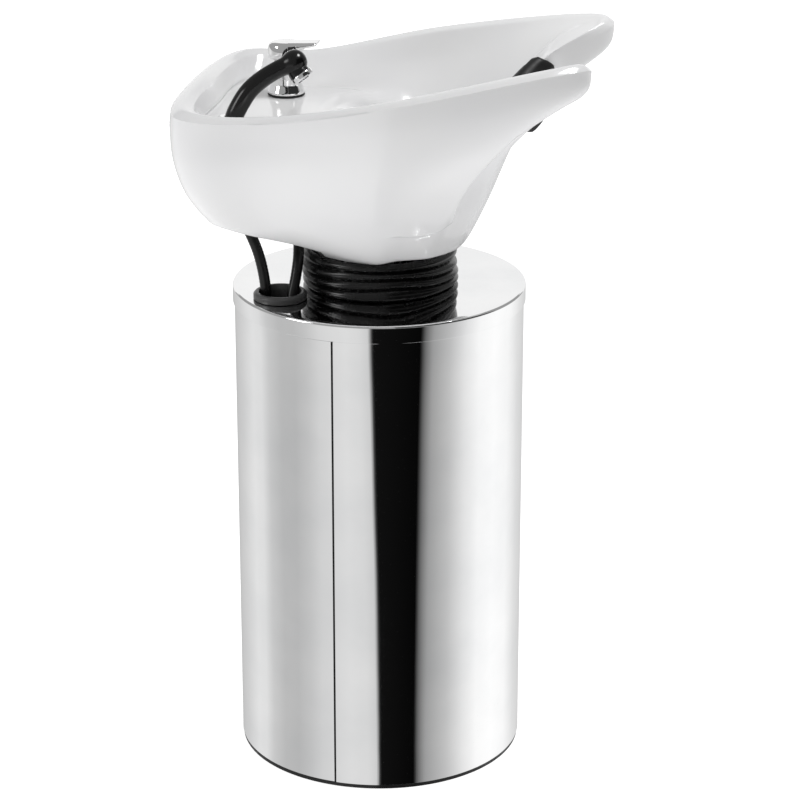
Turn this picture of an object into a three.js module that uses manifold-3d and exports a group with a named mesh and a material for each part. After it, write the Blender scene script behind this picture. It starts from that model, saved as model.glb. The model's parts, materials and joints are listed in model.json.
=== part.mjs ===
// Shampoo backwash unit: a ceramic wash basin that tilts on a round stainless pedestal.
// Millimetres, +Z up. Origin: centre of the base plate's underside, on the floor.
// +X points to the neck notch, -X to the mixer and the shower handset.
import * as THREE from 'three';
import { mergeVertices } from 'three/addons/utils/BufferGeometryUtils.js';
import Module from 'manifold-3d';

const wasm = await Module();
wasm.setup();

// ---- driving dimensions ----------------------------------------------------------------
const GAP = 0.3;                 // clearance between pieces that touch
const ROUND = 48;                // segments around the pedestal
const CASING_R = 200;            // outside of the stainless casing
const SHEET = 1.2;               // casing sheet
const CASING_BOTTOM = 6;
const LID_TOP = 682;
const BAND_HEIGHT = 24;          // turned-down band of the lid
const BAND_R = 202.3;
const LID_SHEET = 1.5;
const LID_OPENING_R = 96;
const SEAM_ANGLE = -98;          // degrees, free edge of the access door
const HINGE_ANGLE = 150;         // degrees, hinged edge of the access door
const SEAM_GAP = 2.6;            // width of the visible seam
const HINGE_AXIS_R = 204.5;
const CUP = { x: -118, y: -100.5, hole: 31, bore: 27.5, mouth: 29, flange: 36.5 };
const POST = { x: -75, side: 60, wall: 3, top: 632 };
const POST_FOOT = 8;             // thickness of the post's foot plate
const PIVOT_Z = 700;
const CHEEK_Y = 54;              // inner face of the fixed cheeks
const EAR_Y = 46;                // inner face of the cradle's ears
const PLATE = 6;                 // steel plate of cheeks, ears and cradle
const FOOT_Z = 737;              // underside of the basin's foot
const DRAIN = { x: 42, hole: 22.5, top: 768 };
const DECK_Z = 919;              // tap ledge
const DECK_UNDER = 903;
const LEVER_PIVOT_Z = 965;
const MIXER = { x: -145, y: 80, shank: 15, hole: 17 };
const HANDSET = { x: -180, y: -94, r: 12.5, lean: 12, turn: 22 };
const HOSE_R = 7.5;
const VALVE = { x: -127, y: 38, z: 410 };

// ---- materials -------------------------------------------------------------------------
const paint = (color, roughness, metalness) =>
  new THREE.MeshStandardMaterial({ color, roughness, metalness });
const mirrorSteel = paint(0xd9dbdd, 0.12, 1);
const chrome = paint(0xe6e8ea, 0.06, 1);
const steel = paint(0x9ea2a6, 0.4, 1);
const darkSteel = paint(0x3b3d40, 0.5, 0.8);
const brass = paint(0xc9a85a, 0.3, 1);
const ceramic = paint(0xf4f4f2, 0.08, 0);
const rubber = paint(0x141415, 0.45, 0);
const blackGloss = paint(0x0c0c0d, 0.15, 0);
const greyPlastic = paint(0x55585b, 0.5, 0);
const whitePlastic = paint(0xe9e9e6, 0.4, 0);
const redPlastic = paint(0xb3261e, 0.4, 0);
const bluePlastic = paint(0x1f4fa3, 0.4, 0);

// ---- helpers ---------------------------------------------------------------------------
const unit = new THREE.Group();
const rad = THREE.MathUtils.degToRad;

function add(name, geometry, material, at = [0, 0, 0]) {
  const mesh = new THREE.Mesh(geometry, material);
  mesh.name = name;
  mesh.position.set(...at);
  unit.add(mesh);
}

// Closed solid of a three.js geometry, for joining and cutting.
function solid(geometry) {
  const bare = geometry.clone();
  bare.deleteAttribute('normal');
  bare.deleteAttribute('uv');
  const merged = mergeVertices(bare, 1e-4);
  return new wasm.Manifold(new wasm.Mesh({
    numProp: 3,
    vertProperties: new Float32Array(merged.attributes.position.array),
    triVerts: new Uint32Array(merged.index.array),
  }));
}

function geometryOf(manifold) {
  const mesh = manifold.getMesh();
  const geometry = new THREE.BufferGeometry();
  geometry.setAttribute('position', new THREE.BufferAttribute(mesh.vertProperties, 3));
  geometry.setIndex(new THREE.BufferAttribute(mesh.triVerts, 1));
  geometry.computeVertexNormals();
  return geometry;
}

const join = (...parts) => geometryOf(parts.map(solid).reduce((a, b) => a.add(b)));
const cut = (body, ...tools) => geometryOf(tools.map(solid).reduce((a, b) => a.subtract(b), solid(body)));

function box(x0, x1, y0, y1, z0, z1) {
  return new THREE.BoxGeometry(x1 - x0, y1 - y0, z1 - z0)
    .translate((x0 + x1) / 2, (y0 + y1) / 2, (z0 + z1) / 2);
}

// Upright cylinder; sides = 6 gives a hexagon.
function rod(r, z0, z1, x = 0, y = 0, sides = 24) {
  return new THREE.CylinderGeometry(r, r, z1 - z0, sides).rotateX(Math.PI / 2)
    .translate(x, y, (z0 + z1) / 2);
}

// Cylinder along Y.
function rodY(r, y0, y1, x, z, sides = 24) {
  return new THREE.CylinderGeometry(r, r, y1 - y0, sides).translate(x, (y0 + y1) / 2, z);
}

// Turned piece: profile points are [radius, z].
function turned(profile, sides = 32, start = 0, sweep = 2 * Math.PI) {
  const points = profile.map(([r, z]) => new THREE.Vector2(r, z));
  return new THREE.LatheGeometry(points, sides, start, sweep).rotateX(Math.PI / 2);
}

const ring = (rIn, rOut, z0, z1, sides = 32) =>
  turned([[rIn, z0], [rOut, z0], [rOut, z1], [rIn, z1], [rIn, z0]], sides);

// Plan outline extruded upward from z0 to z1.
function slab(shape, z0, z1, curveSegments = 8) {
  return new THREE.ExtrudeGeometry(shape, { depth: z1 - z0, bevelEnabled: false, curveSegments })
    .translate(0, 0, z0);
}

// Round bar or, with rIn, a pipe along a smooth route. An arc gets two edges per curve segment.
function pipe(route, r, rIn = 0, sides = 10, steps = 24) {
  const section = new THREE.Shape().absarc(0, 0, r, 0, 2 * Math.PI);
  if (rIn) section.holes.push(new THREE.Path().absarc(0, 0, rIn, 0, 2 * Math.PI, true));
  const extrudePath = new THREE.CatmullRomCurve3(route.map((p) => new THREE.Vector3(...p)), false, 'centripetal');
  return new THREE.ExtrudeGeometry(section, { steps, curveSegments: sides / 2, extrudePath });
}

// Curved sheet of the casing between two angles (degrees).
function casingSheet(from, to, z0, z1) {
  const rIn = CASING_R - SHEET;
  const shape = new THREE.Shape();
  shape.absarc(0, 0, CASING_R, rad(from), rad(to));
  shape.absarc(0, 0, rIn, rad(to), rad(from), true);
  return slab(shape, z0, z1, Math.round(ROUND * (to - from) / 720));
}

const polar = (r, degrees) => [r * Math.cos(rad(degrees)), r * Math.sin(rad(degrees))];

// ---- basin control net -----------------------------------------------------------------
// Each loop runs from the front centre over the notch side, horn tip, front side, side,
// rear side and rear corner to the back centre: [x, half width, z]. The other half mirrors it.
const OUTER_LOOPS = [
  [[198, 0, 948], [230, 78, 986], [302, 133, 1021], [252, 180, 1022], [50, 232, 984],
    [-120, 207, 951], [-238, 186, 950], [-258, 0, 954]],
  [[202, 0, 925], [234, 82, 955], [292, 134, 989], [238, 176, 980], [48, 228, 950],
    [-122, 205, 930], [-240, 184, 928], [-261, 0, 930]],
  [[197, 0, 902], [208, 70, 914], [222, 116, 942], [190, 164, 925], [42, 214, 905],
    [-124, 200, 890], [-238, 180, 885], [-258, 0, 885]],
  [[180, 0, 864], [176, 62, 866], [150, 100, 866], [136, 138, 862], [34, 188, 850],
    [-120, 182, 845], [-226, 172, 842], [-244, 0, 842]],
  [[154, 0, 800], [148, 54, 800], [120, 90, 800], [98, 120, 795], [24, 156, 792],
    [-108, 156, 800], [-204, 158, 806], [-222, 0, 806]],
  [[128, 0, 748], [122, 47, 747], [100, 80, 746], [76, 102, 746], [14, 126, 749],
    [-90, 126, 768], [-185, 140, 790], [-205, 0, 790]],
  [[112, 0, FOOT_Z], [106, 38, FOOT_Z], [89, 68, FOOT_Z], [64, 90, FOOT_Z], [8, 104, FOOT_Z],
    [-60, 80, FOOT_Z], [-82, 44, FOOT_Z], [-90, 0, FOOT_Z]],
];
const INNER_LOOPS = [
  [[178, 0, 955], [214, 62, 986], [278, 126, 1024], [240, 160, 1023], [48, 212, 986],
    [-118, 187, 953], [-214, 162, 953], [-228, 0, 956]],
  [[168, 0, 940], [188, 62, 962], [222, 118, 1000], [196, 148, 992], [44, 196, 952],
    [-98, 162, 930], [-208, 140, 930], [-220, 0, 930]],
  [[158, 0, 915], [164, 54, 926], [168, 92, 938], [140, 126, 930], [46, 166, 915],
    [-76, 138, DECK_Z], [-196, 120, DECK_Z], [-210, 0, DECK_Z]],
  [[146, 0, 880], [146, 48, 884], [140, 80, 888], [112, 106, 884], [46, 138, 878],
    [-40, 112, 912], [-70, 80, 918], [-78, 0, DECK_Z]],
  [[130, 0, 838], [128, 42, 838], [118, 68, 838], [96, 90, 838], [46, 112, 834],
    [-14, 94, 850], [-44, 60, 860], [-54, 0, 862]],
  [[96, 0, 785], [94, 28, 785], [86, 46, 785], [72, 60, 785], [44, 70, 784],
    [12, 58, 788], [-4, 34, 792], [-10, 0, 793]],
];
const AROUND = 48;               // columns around the basin
const PER_LOOP = 2;              // rows from one loop to the next
const LIP_ROWS = 3;              // rows over the rounded lip
const LIP_CROWN = 6;
const CERAMIC_WALL = 12;
const POCKET_FRONT = -58;        // the underside is hollow behind this plane

const blend = (p0, p1, p2, p3, t) => 0.5 * (2 * p1 + (p2 - p0) * t
  + (2 * p0 - 5 * p1 + 4 * p2 - p3) * t * t + (3 * p1 - p0 - 3 * p2 + p3) * t ** 3);

// Smooth closed loop of `count` points through a half loop and its mirror image.
function smoothLoop(half, count) {
  const mirrored = half.slice(1, -1).reverse().map(([x, y, z]) => [x, -y, z]);
  const all = [...half, ...mirrored];
  const pick = (i) => all[(i + all.length) % all.length];
  return Array.from({ length: count }, (_, k) => {
    const t = (k / count) * all.length;
    const i = Math.floor(t);
    return [0, 1, 2].map((c) =>
      blend(pick(i - 1)[c], pick(i)[c], pick(i + 1)[c], pick(i + 2)[c], t - i));
  });
}

// Rows of a smooth surface through the loops.
function surfaceRows(halves, perLoop) {
  const loops = halves.map((half) => smoothLoop(half, AROUND));
  const rows = [];
  for (let i = 0; i + 1 < loops.length; i += 1) {
    const before = loops[Math.max(i - 1, 0)];
    const after = loops[Math.min(i + 2, loops.length - 1)];
    for (let k = 0; k < perLoop; k += 1) {
      rows.push(loops[i].map((p, j) => p.map((_, c) =>
        blend(before[j][c], p[c], loops[i + 1][j][c], after[j][c], k / perLoop))));
    }
  }
  return [...rows, loops[loops.length - 1]];
}

// Rows from the inner edge of the lip over its crown to the outer edge, ends left out.
function lipRows(inner, outer) {
  return Array.from({ length: LIP_ROWS }, (_, i) => {
    const t = (i + 1) / (LIP_ROWS + 1);
    return inner.map((p, j) => p.map((v, c) =>
      v + (outer[j][c] - v) * t + (c === 2 ? LIP_CROWN * Math.sin(Math.PI * t) : 0)));
  });
}

const circleRow = (x, r, z) => Array.from({ length: AROUND }, (_, k) => {
  const a = (2 * Math.PI * k) / AROUND;
  return [x + r * Math.cos(a), r * Math.sin(a), z];
});

// Mesh over rows of equal length; closed by joining last row to first, or by end caps.
function skin(rows, loopBack) {
  const n = rows[0].length;
  const positions = rows.flat(2);
  const index = [];
  const last = loopBack ? rows.length : rows.length - 1;
  for (let i = 0; i < last; i += 1) {
    const next = (i + 1) % rows.length;
    for (let j = 0; j < n; j += 1) {
      const k = (j + 1) % n;
      index.push(i * n + j, next * n + j, next * n + k, i * n + j, next * n + k, i * n + k);
    }
  }
  if (!loopBack) {
    [[0, false], [rows.length - 1, true]].forEach(([row, flip]) => {
      const centre = [0, 1, 2].map((c) => rows[row].reduce((s, p) => s + p[c], 0) / n);
      const hub = positions.length / 3;
      positions.push(...centre);
      for (let j = 0; j < n; j += 1) {
        const edge = [row * n + j, row * n + ((j + 1) % n)];
        index.push(hub, ...(flip ? edge.reverse() : edge));
      }
    });
  }
  const geometry = new THREE.BufferGeometry();
  geometry.setAttribute('position', new THREE.BufferAttribute(new Float32Array(positions), 3));
  geometry.setIndex(index);
  return facingOut(geometry);
}

// Closed solid between two open grids of points of the same size.
function thickSheet(inner, outer) {
  const [nc, nr] = [inner.length, inner[0].length];
  const id = (side, c, r) => (side * nc + c) * nr + r;
  const index = [];
  const quad = (a, b, c, d) => index.push(a, b, c, a, c, d);
  for (let c = 0; c + 1 < nc; c += 1) {
    for (let r = 0; r + 1 < nr; r += 1) {
      quad(id(0, c, r), id(0, c + 1, r), id(0, c + 1, r + 1), id(0, c, r + 1));
      quad(id(1, c, r), id(1, c, r + 1), id(1, c + 1, r + 1), id(1, c + 1, r));
    }
  }
  const rim = [];
  for (let c = 0; c < nc - 1; c += 1) rim.push([c, 0]);
  for (let r = 0; r < nr - 1; r += 1) rim.push([nc - 1, r]);
  for (let c = nc - 1; c > 0; c -= 1) rim.push([c, nr - 1]);
  for (let r = nr - 1; r > 0; r -= 1) rim.push([0, r]);
  rim.forEach((a, i) => {
    const b = rim[(i + 1) % rim.length];
    quad(id(0, ...b), id(0, ...a), id(1, ...a), id(1, ...b));
  });
  const geometry = new THREE.BufferGeometry();
  const positions = new Float32Array([...inner.flat(2), ...outer.flat(2)]);
  geometry.setAttribute('position', new THREE.BufferAttribute(positions, 3));
  geometry.setIndex(index);
  return facingOut(geometry);
}

// Turns every face over when the enclosed volume comes out negative.
function facingOut(geometry) {
  const p = geometry.attributes.position;
  const index = geometry.index.array;
  const [a, b, c] = [new THREE.Vector3(), new THREE.Vector3(), new THREE.Vector3()];
  let volume = 0;
  for (let i = 0; i < index.length; i += 3) {
    [a, b, c].forEach((v, k) => v.fromBufferAttribute(p, index[i + k]));
    volume += a.dot(b.cross(c));
  }
  if (volume < 0) {
    for (let i = 0; i < index.length; i += 3) {
      [index[i], index[i + 1]] = [index[i + 1], index[i]];
    }
  }
  geometry.computeVertexNormals();
  return geometry;
}

// Loop moved sideways towards (negative) or away from (positive) a centre on the X axis.
const offsetLoop = (loop, distance, cx, dz = 0) => loop.map(([x, y, z]) => {
  const r = Math.hypot(x - cx, y);
  const k = (r + distance) / r;
  return [cx + (x - cx) * k, y * k, z + dz];
});

// The tap ledge, between the third and fourth inner loops at the back, is kept flat.
const LEDGE_X = -20;
const innerRows = surfaceRows(INNER_LOOPS, PER_LOOP).map((row, i) => row.map(([x, y, z]) => {
  const onLedge = i >= 2 * PER_LOOP && i <= 3 * PER_LOOP && x < LEDGE_X;
  return [x, y, onLedge ? Math.min(z, DECK_Z) : z];
}));
const outerRows = surfaceRows(OUTER_LOOPS, PER_LOOP);
const lip = lipRows(innerRows[0], outerRows[0]);

function basin() {
  const body = skin([
    circleRow(DRAIN.x, DRAIN.hole, DRAIN.top - 3),
    circleRow(DRAIN.x, DRAIN.hole + 11, DRAIN.top - 3),
    circleRow(DRAIN.x, DRAIN.hole + 13, DRAIN.top),
    ...[...innerRows].reverse(), ...lip, ...outerRows,
    circleRow(DRAIN.x, DRAIN.hole, FOOT_Z),
  ], true);
  const leaned = new THREE.CylinderGeometry(19, 19, 80, 24).rotateX(Math.PI / 2)
    .applyQuaternion(handsetTilt).translate(HANDSET.x, HANDSET.y, DECK_Z);
  return geometryOf(solid(body).subtract(pocket())
    .subtract(solid(rod(MIXER.hole, DECK_UNDER - 20, DECK_Z + 20, MIXER.x, MIXER.y)))
    .subtract(solid(leaned)));
}

// Hollow under the tap ledge, open at the bottom, between the skirt and the bowl.
function pocket() {
  const skirt = OUTER_LOOPS.slice(0, 6).map((half) => offsetLoop(smoothLoop(half, AROUND), -CERAMIC_WALL, 0));
  const mouth = skirt[5].map(([x, y]) => [x, y, FOOT_Z - 40]);
  const bowl = INNER_LOOPS.slice(2).map((half) =>
    offsetLoop(smoothLoop(half, AROUND), CERAMIC_WALL + 4, DRAIN.x, -CERAMIC_WALL));
  const collar = bowl[0].map(([x, y]) => [x, y, DECK_Z + 60]);
  const reach = box(-300, POCKET_FRONT, -250, 250, FOOT_Z - 60, DECK_UNDER);
  return solid(skin([...skirt, mouth], false)).intersect(solid(reach))
    .subtract(solid(skin([collar, ...bowl.slice(1)], false)));
}

// ---- pedestal --------------------------------------------------------------------------
const BASE_TOP = 8;
const BASE_R = 186;
const FLOOR_OUTLET = { x: 96, y: 60, r: 34 };
const FOOT_BOLT = 46;            // half spacing of the four post bolts

const postBolts = [[-1, -1], [1, -1], [1, 1], [-1, 1]].map(([i, j]) =>
  [POST.x + i * FOOT_BOLT, j * FOOT_BOLT]);

function basePlate() {
  const holes = postBolts.map(([x, y]) => rod(5.6, -1, BASE_TOP + 1, x, y, 12));
  return cut(rod(BASE_R, 0, BASE_TOP, 0, 0, ROUND),
    rod(FLOOR_OUTLET.r, -1, BASE_TOP + 1, FLOOR_OUTLET.x, FLOOR_OUTLET.y, 32), ...holes);
}

// Black edging: a foot under the casing's lower edge and an upstand inside it.
function baseRing() {
  const inside = BASE_R + GAP * 2;
  const upstand = CASING_R - SHEET - 3 * GAP;
  return turned([[inside, 0], [CASING_R - 1, 0], [CASING_R - 1, CASING_BOTTOM - GAP],
    [upstand, CASING_BOTTOM - GAP], [upstand, 22], [inside, 22], [inside, 0]], ROUND);
}

function topCover() {
  const lower = LID_TOP - BAND_HEIGHT;
  const bandIn = CASING_R + 3 * GAP;
  const under = LID_TOP - LID_SHEET;
  const pan = turned([[LID_OPENING_R, under], [bandIn, under], [bandIn, lower], [BAND_R, lower],
    [BAND_R, LID_TOP - 2], [BAND_R - 2, LID_TOP], [LID_OPENING_R, LID_TOP], [LID_OPENING_R, under]], ROUND);
  return cut(pan, rod(CUP.hole, under - 5, LID_TOP + 5, CUP.x, CUP.y, 32));
}

// Flanged cup that guides the hose through the lid; open at both ends.
function hoseGuide() {
  const tubeR = CUP.hole - GAP * 2;
  const z = LID_TOP + GAP;
  return turned([[CUP.bore, z - 46], [tubeR, z - 46], [tubeR, z], [CUP.flange, z], [CUP.flange, z + 7],
    [CUP.flange - 3, z + 10], [CUP.mouth, z + 10], [CUP.bore, z + 2], [CUP.bore, z - 46]], 28)
    .translate(CUP.x, CUP.y, 0);
}

// Welded post: square tube, foot plate and the bracket for the stop valves.
function post() {
  const h = POST.side / 2;
  const foot = 60;
  const bore = h - POST.wall;
  const footZ = BASE_TOP + GAP;
  const bracketX = POST.x - h;
  const body = join(box(POST.x - h, POST.x + h, -h, h, footZ, POST.top),
    box(POST.x - foot, POST.x + foot, -foot, foot, footZ, footZ + POST_FOOT),
    box(bracketX - 4, bracketX + 1, -56, 56, VALVE.z - 20, VALVE.z + 20));
  const holes = postBolts.map(([x, y]) => rod(5.6, BASE_TOP - 2, 20, x, y, 12));
  return cut(body, box(POST.x - bore, POST.x + bore, -bore, bore, footZ - 5, POST.top + 5), ...holes);
}

function footBolt() {
  const seat = BASE_TOP + GAP + POST_FOOT + GAP;
  return join(rod(5, 1, seat + 1, 0, 0, 12), rod(8.5, seat, seat + 7, 0, 0, 6));
}

// Fixed fork: a plate on the post and two cheeks that carry the pivot bolts.
function tiltYoke() {
  const z0 = POST.top + GAP;
  const z1 = z0 + 8;
  const outer = CHEEK_Y + PLATE;
  const cheek = (y0, y1) => {
    const shape = new THREE.Shape();
    shape.moveTo(-24, z1 - 2);
    shape.lineTo(24, z1 - 2);
    shape.lineTo(16, PIVOT_Z);
    shape.absarc(0, PIVOT_Z, 16, 0, Math.PI);
    shape.lineTo(-24, z1 - 2);
    return new THREE.ExtrudeGeometry(shape, { depth: y1 - y0, bevelEnabled: false, curveSegments: 6 })
      .rotateX(Math.PI / 2).translate(0, y1, 0);
  };
  const arm = box(-106, 30, -38, 38, z0, z1);
  const bridge = box(-24, 24, -outer, outer, z0, z1);
  const nose = box(20, 70, -38, 38, z0, z1);
  const body = join(arm, bridge, nose, cheek(CHEEK_Y, outer), cheek(-outer, -CHEEK_Y));
  return cut(body, rod(30, z0 - 5, z1 + 5, DRAIN.x - 6, 0, 24),
    rodY(6.4, -outer - 5, outer + 5, 0, PIVOT_Z, 16));
}

// ---- tilt joint ------------------------------------------------------------------------
const PAD = 2.4;
const CRADLE_TOP = FOOT_Z - PAD - 2 * GAP;

function tiltCradle() {
  const z0 = CRADLE_TOP - PLATE;
  const outer = EAR_Y + PLATE;
  const ear = (y0, y1) => {
    const shape = new THREE.Shape();
    shape.moveTo(14, PIVOT_Z);
    shape.lineTo(26, z0 + 1);
    shape.lineTo(-26, z0 + 1);
    shape.lineTo(-14, PIVOT_Z);
    shape.absarc(0, PIVOT_Z, 14, Math.PI, 2 * Math.PI);
    return new THREE.ExtrudeGeometry(shape, { depth: y1 - y0, bevelEnabled: false, curveSegments: 6 })
      .rotateX(Math.PI / 2).translate(0, y1, 0);
  };
  const top = box(-48, 74, -outer, outer, z0, CRADLE_TOP);
  return cut(join(top, ear(EAR_Y, outer), ear(-outer, -EAR_Y)),
    rod(34, z0 - 5, CRADLE_TOP + 5, DRAIN.x, 0, 32),
    rodY(8.3, -outer - 5, outer + 5, 0, PIVOT_Z, 16),
    rod(5.2, z0 - 5, CRADLE_TOP + 5, -34, 30, 12), rod(5.2, z0 - 5, CRADLE_TOP + 5, -34, -30, 12));
}

// One side of the pivot: bolt from the outside, bush in the ear, washer in the gap, nut inside.
function pivotSide(name, side) {
  const along = (y0, y1) => (side > 0 ? [y0, y1] : [-y1, -y0]);
  const outer = CHEEK_Y + PLATE;
  const shank = rodY(6, ...along(EAR_Y - 12, outer + 1), 0, PIVOT_Z, 16);
  const head = rodY(10, ...along(outer + GAP, outer + 7), 0, PIVOT_Z, 6);
  const tube = (rIn, rOut, y0, y1) =>
    cut(rodY(rOut, ...along(y0, y1), 0, PIVOT_Z, 16), rodY(rIn, ...along(y0 - 2, y1 + 2), 0, PIVOT_Z, 16));
  add(`pivot_bolt_${name}`, join(shank, head), steel);
  add(`pivot_bush_${name}`, tube(6.2, 8.1, EAR_Y - 0.5, EAR_Y + PLATE + 0.1), whitePlastic);
  add(`friction_washer_${name}`, tube(6.3, 13, EAR_Y + PLATE + GAP, CHEEK_Y - GAP), brass);
  add(`pivot_nut_${name}`, tube(6.25, 9.8, EAR_Y - 9.5, EAR_Y - 0.5 - GAP), steel);
}

// Rubber pads between cradle and basin foot, and the two bolts into the foot.
function basinFixings() {
  const pad = (y0, y1) => box(-46, 72, y0, y1, CRADLE_TOP + GAP, FOOT_Z - GAP);
  const boltHole = (side) => rod(6, CRADLE_TOP, FOOT_Z, -34, 30 * side, 12);
  const drain = rod(34, CRADLE_TOP, FOOT_Z, DRAIN.x, 0, 24);
  add('basin_pad_left', cut(pad(20, 50), boltHole(1), drain), rubber);
  add('basin_pad_right', cut(pad(-50, -20), boltHole(-1), drain), rubber);
  [1, -1].forEach((side, i) => {
    const head = rod(8, CRADLE_TOP - PLATE - 6, CRADLE_TOP - PLATE - GAP, 0, 0, 6);
    add(`basin_bolt_${i + 1}`, join(head, rod(4.6, CRADLE_TOP - PLATE - 1, FOOT_Z - GAP, 0, 0, 12)),
      steel, [-34, 30 * side, 0]);
  });
}

// Rubber bellows between lid and basin: outside and inside follow the same folds.
function bellows() {
  const z0 = LID_TOP + GAP;
  const z1 = FOOT_Z - 1.5;
  const folds = 5;
  const outside = [];
  const inside = [];
  for (let i = 0; i <= 2 * folds; i += 1) {
    const z = z0 + ((z1 - z0) * i) / (2 * folds);
    const r = i % 2 ? 109.5 : 102;
    outside.push([r, z]);
    inside.push([r - 3.5, z]);
  }
  return turned([...outside, ...inside.reverse(), outside[0]], 26);
}

// ---- waste -----------------------------------------------------------------------------
const TAIL_BOTTOM = 694;

function wasteFlange() {
  const top = DRAIN.top - 3 + GAP;
  return turned([[18, TAIL_BOTTOM], [21, TAIL_BOTTOM], [21, top], [31, top], [31, top + 1.2],
    [24, top + 2], [18, top - 1], [18, TAIL_BOTTOM]], 32);
}

function strainer() {
  const z = DRAIN.top - 1.4;
  const cup = turned([[0, z - 9], [14, z - 9], [17, z], [22, z + 2], [21.5, z + 4], [16, z + 2],
    [13, z - 7], [3, z - 7], [3, z + 4], [5, z + 5], [5, z + 7], [0, z + 8]], 18);
  const holes = Array.from({ length: 6 }, (_, i) => {
    const [x, y] = polar(9, 60 * i);
    return rod(2.2, z - 12, z - 5, x, y, 6);
  });
  return cut(cup, ...holes);
}

const TRAP = { x: 62, y: 44, top: 300, bottom: 176 };

function waste() {
  const at = [DRAIN.x, 0, 0];
  add('waste_flange', wasteFlange(), chrome, at);
  add('waste_strainer', strainer(), chrome, at);
  add('waste_washer', ring(21.4, 30, FOOT_Z - PAD - GAP, FOOT_Z - GAP), rubber, at);
  add('waste_nut', cut(rod(31, FOOT_Z - 14, FOOT_Z - PAD - 2 * GAP, 0, 0, 6), rod(21.4, 700, 740)), brass, at);
  const hose = [[DRAIN.x, 0, 692], [DRAIN.x, 0, 640], [DRAIN.x + 3, 6, 560], [TRAP.x - 4, 36, 440],
    [TRAP.x, TRAP.y, 370], [TRAP.x, TRAP.y, TRAP.top + 22]];
  add('waste_hose', pipe(hose, 20.5, 17, 8, 14), greyPlastic);
  add('bottle_trap', turned([[0, TRAP.bottom], [30, TRAP.bottom], [33, TRAP.bottom + 6], [33, TRAP.top - 30],
    [36, TRAP.top - 28], [36, TRAP.top], [24, TRAP.top + 4], [24, TRAP.top + 20], [19, TRAP.top + 20],
    [19, TRAP.top - 70], [16, TRAP.top - 70], [0, TRAP.top - 70]], 20), whitePlastic, [TRAP.x, TRAP.y, 0]);
  const outlet = [[TRAP.x + 36.6, TRAP.y + 6, 262], [TRAP.x + 56, TRAP.y + 8, 258],
    [TRAP.x + 64, TRAP.y + 10, 238], [FLOOR_OUTLET.x + 22, FLOOR_OUTLET.y, 180], [FLOOR_OUTLET.x + 4, FLOOR_OUTLET.y, 90],
    [FLOOR_OUTLET.x, FLOOR_OUTLET.y, 10]];
  add('waste_outlet', pipe(outlet, 16, 13.5, 8, 12), whitePlastic);
}

// ---- access door -----------------------------------------------------------------------
const DOOR_TOP = LID_TOP - BAND_HEIGHT - 1.5;
const DOOR_BOTTOM = CASING_BOTTOM + 0.6;
const SEAM_DEGREES = (SEAM_GAP / CASING_R) * (180 / Math.PI);
const DOOR_FROM = HINGE_ANGLE + 0.45;
const DOOR_TO = 360 + SEAM_ANGLE - SEAM_DEGREES / 2;

function fixedCasing() {
  const side = casingSheet(SEAM_ANGLE + SEAM_DEGREES / 2, HINGE_ANGLE, CASING_BOTTOM, LID_TOP - LID_SHEET - GAP);
  const bridge = casingSheet(HINGE_ANGLE - 4, 360 + SEAM_ANGLE + SEAM_DEGREES / 2 + 4,
    DOOR_TOP + 2.5, LID_TOP - LID_SHEET - GAP);
  return join(side, bridge);
}

// Small piece lying on the casing at an angle: x is outward, y runs around, z is height.
const onCasing = (geometry, degrees) => geometry.rotateZ(rad(degrees));

function hinge(name, z) {
  const r = HINGE_AXIS_R;
  const near = CASING_R + GAP;
  const leaf = (y0, y1, z0, z1) => box(near, near + 1.6, y0, y1, z0, z1);
  const knuckles = [box(near, r, -2.8, -1.4, z, z + 20), box(near, r, 1.4, 2.8, z + 20.6, z + 40)];
  const fixed = join(rod(3.6, z, z + 20, r, 0, 14), leaf(-22, -1.5, z, z + 20), knuckles[0],
    rod(1.8, z + 19, z + 41.5, r, 0, 12));
  const moving = cut(join(rod(3.6, z + 20.6, z + 40, r, 0, 14), leaf(1.5, 22, z + 20.6, z + 40), knuckles[1]),
    rod(2, z + 19, z + 41, r, 0, 12));
  add(`hinge_leaf_fixed_${name}`, onCasing(fixed, HINGE_ANGLE), steel);
  add(`hinge_leaf_door_${name}`, onCasing(moving, HINGE_ANGLE), steel);
}

function accessDoor() {
  add('casing_shell', fixedCasing(), mirrorSteel);
  add('access_door', casingSheet(DOOR_FROM, DOOR_TO, DOOR_BOTTOM, DOOR_TOP), mirrorSteel);
  hinge('lower', 90);
  hinge('upper', 540);
  const inside = CASING_R - SHEET - GAP;
  add('door_seal', onCasing(box(inside - 5, inside - 0.6, -12, 12, 26, DOOR_TOP - 4), SEAM_ANGLE), rubber);
  add('door_catch', onCasing(box(inside - 24, inside - 6.5, 2, 18, 330, 370), SEAM_ANGLE), darkSteel);
}

// ---- water: valves, supply tails, shower hose ---------------------------------------------
function stopValve(name, side, handleMaterial) {
  const { x, z } = VALVE;
  const y = VALVE.y * side;
  const body = join(rod(11, z - 24, z + 26, x, y, 16), rod(13.5, z - 10, z + 6, x, y, 6),
    new THREE.CylinderGeometry(6, 6, 22, 12).rotateZ(Math.PI / 2).translate(x - 15, y, z));
  add(`${name}_stop_valve`, body, chrome);
  const hub = new THREE.CylinderGeometry(8, 8, 8, 16).rotateZ(Math.PI / 2).translate(x - 30.6, y, z);
  add(`${name}_valve_handle`, join(hub, box(x - 34.6, x - 28, y - 5, y + 5, z, z + 38)), handleMaterial);
}

// Braided tail from a stop valve, past the fork and up the hollow of the basin to the mixer.
function supplyTail(name, side, upper) {
  const y = VALVE.y * side;
  const lower = [[VALVE.x, y, VALVE.z + 26.4], [VALVE.x + 2, y + 3 * side, 520], [-92, 49 * side, 610],
    [-72, 51 * side, 660], [-72, 50 * side, 735]];
  add(`${name}_supply_tail`, pipe([...lower, ...upper], 5, 0, 6, 22), steel);
}

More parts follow.
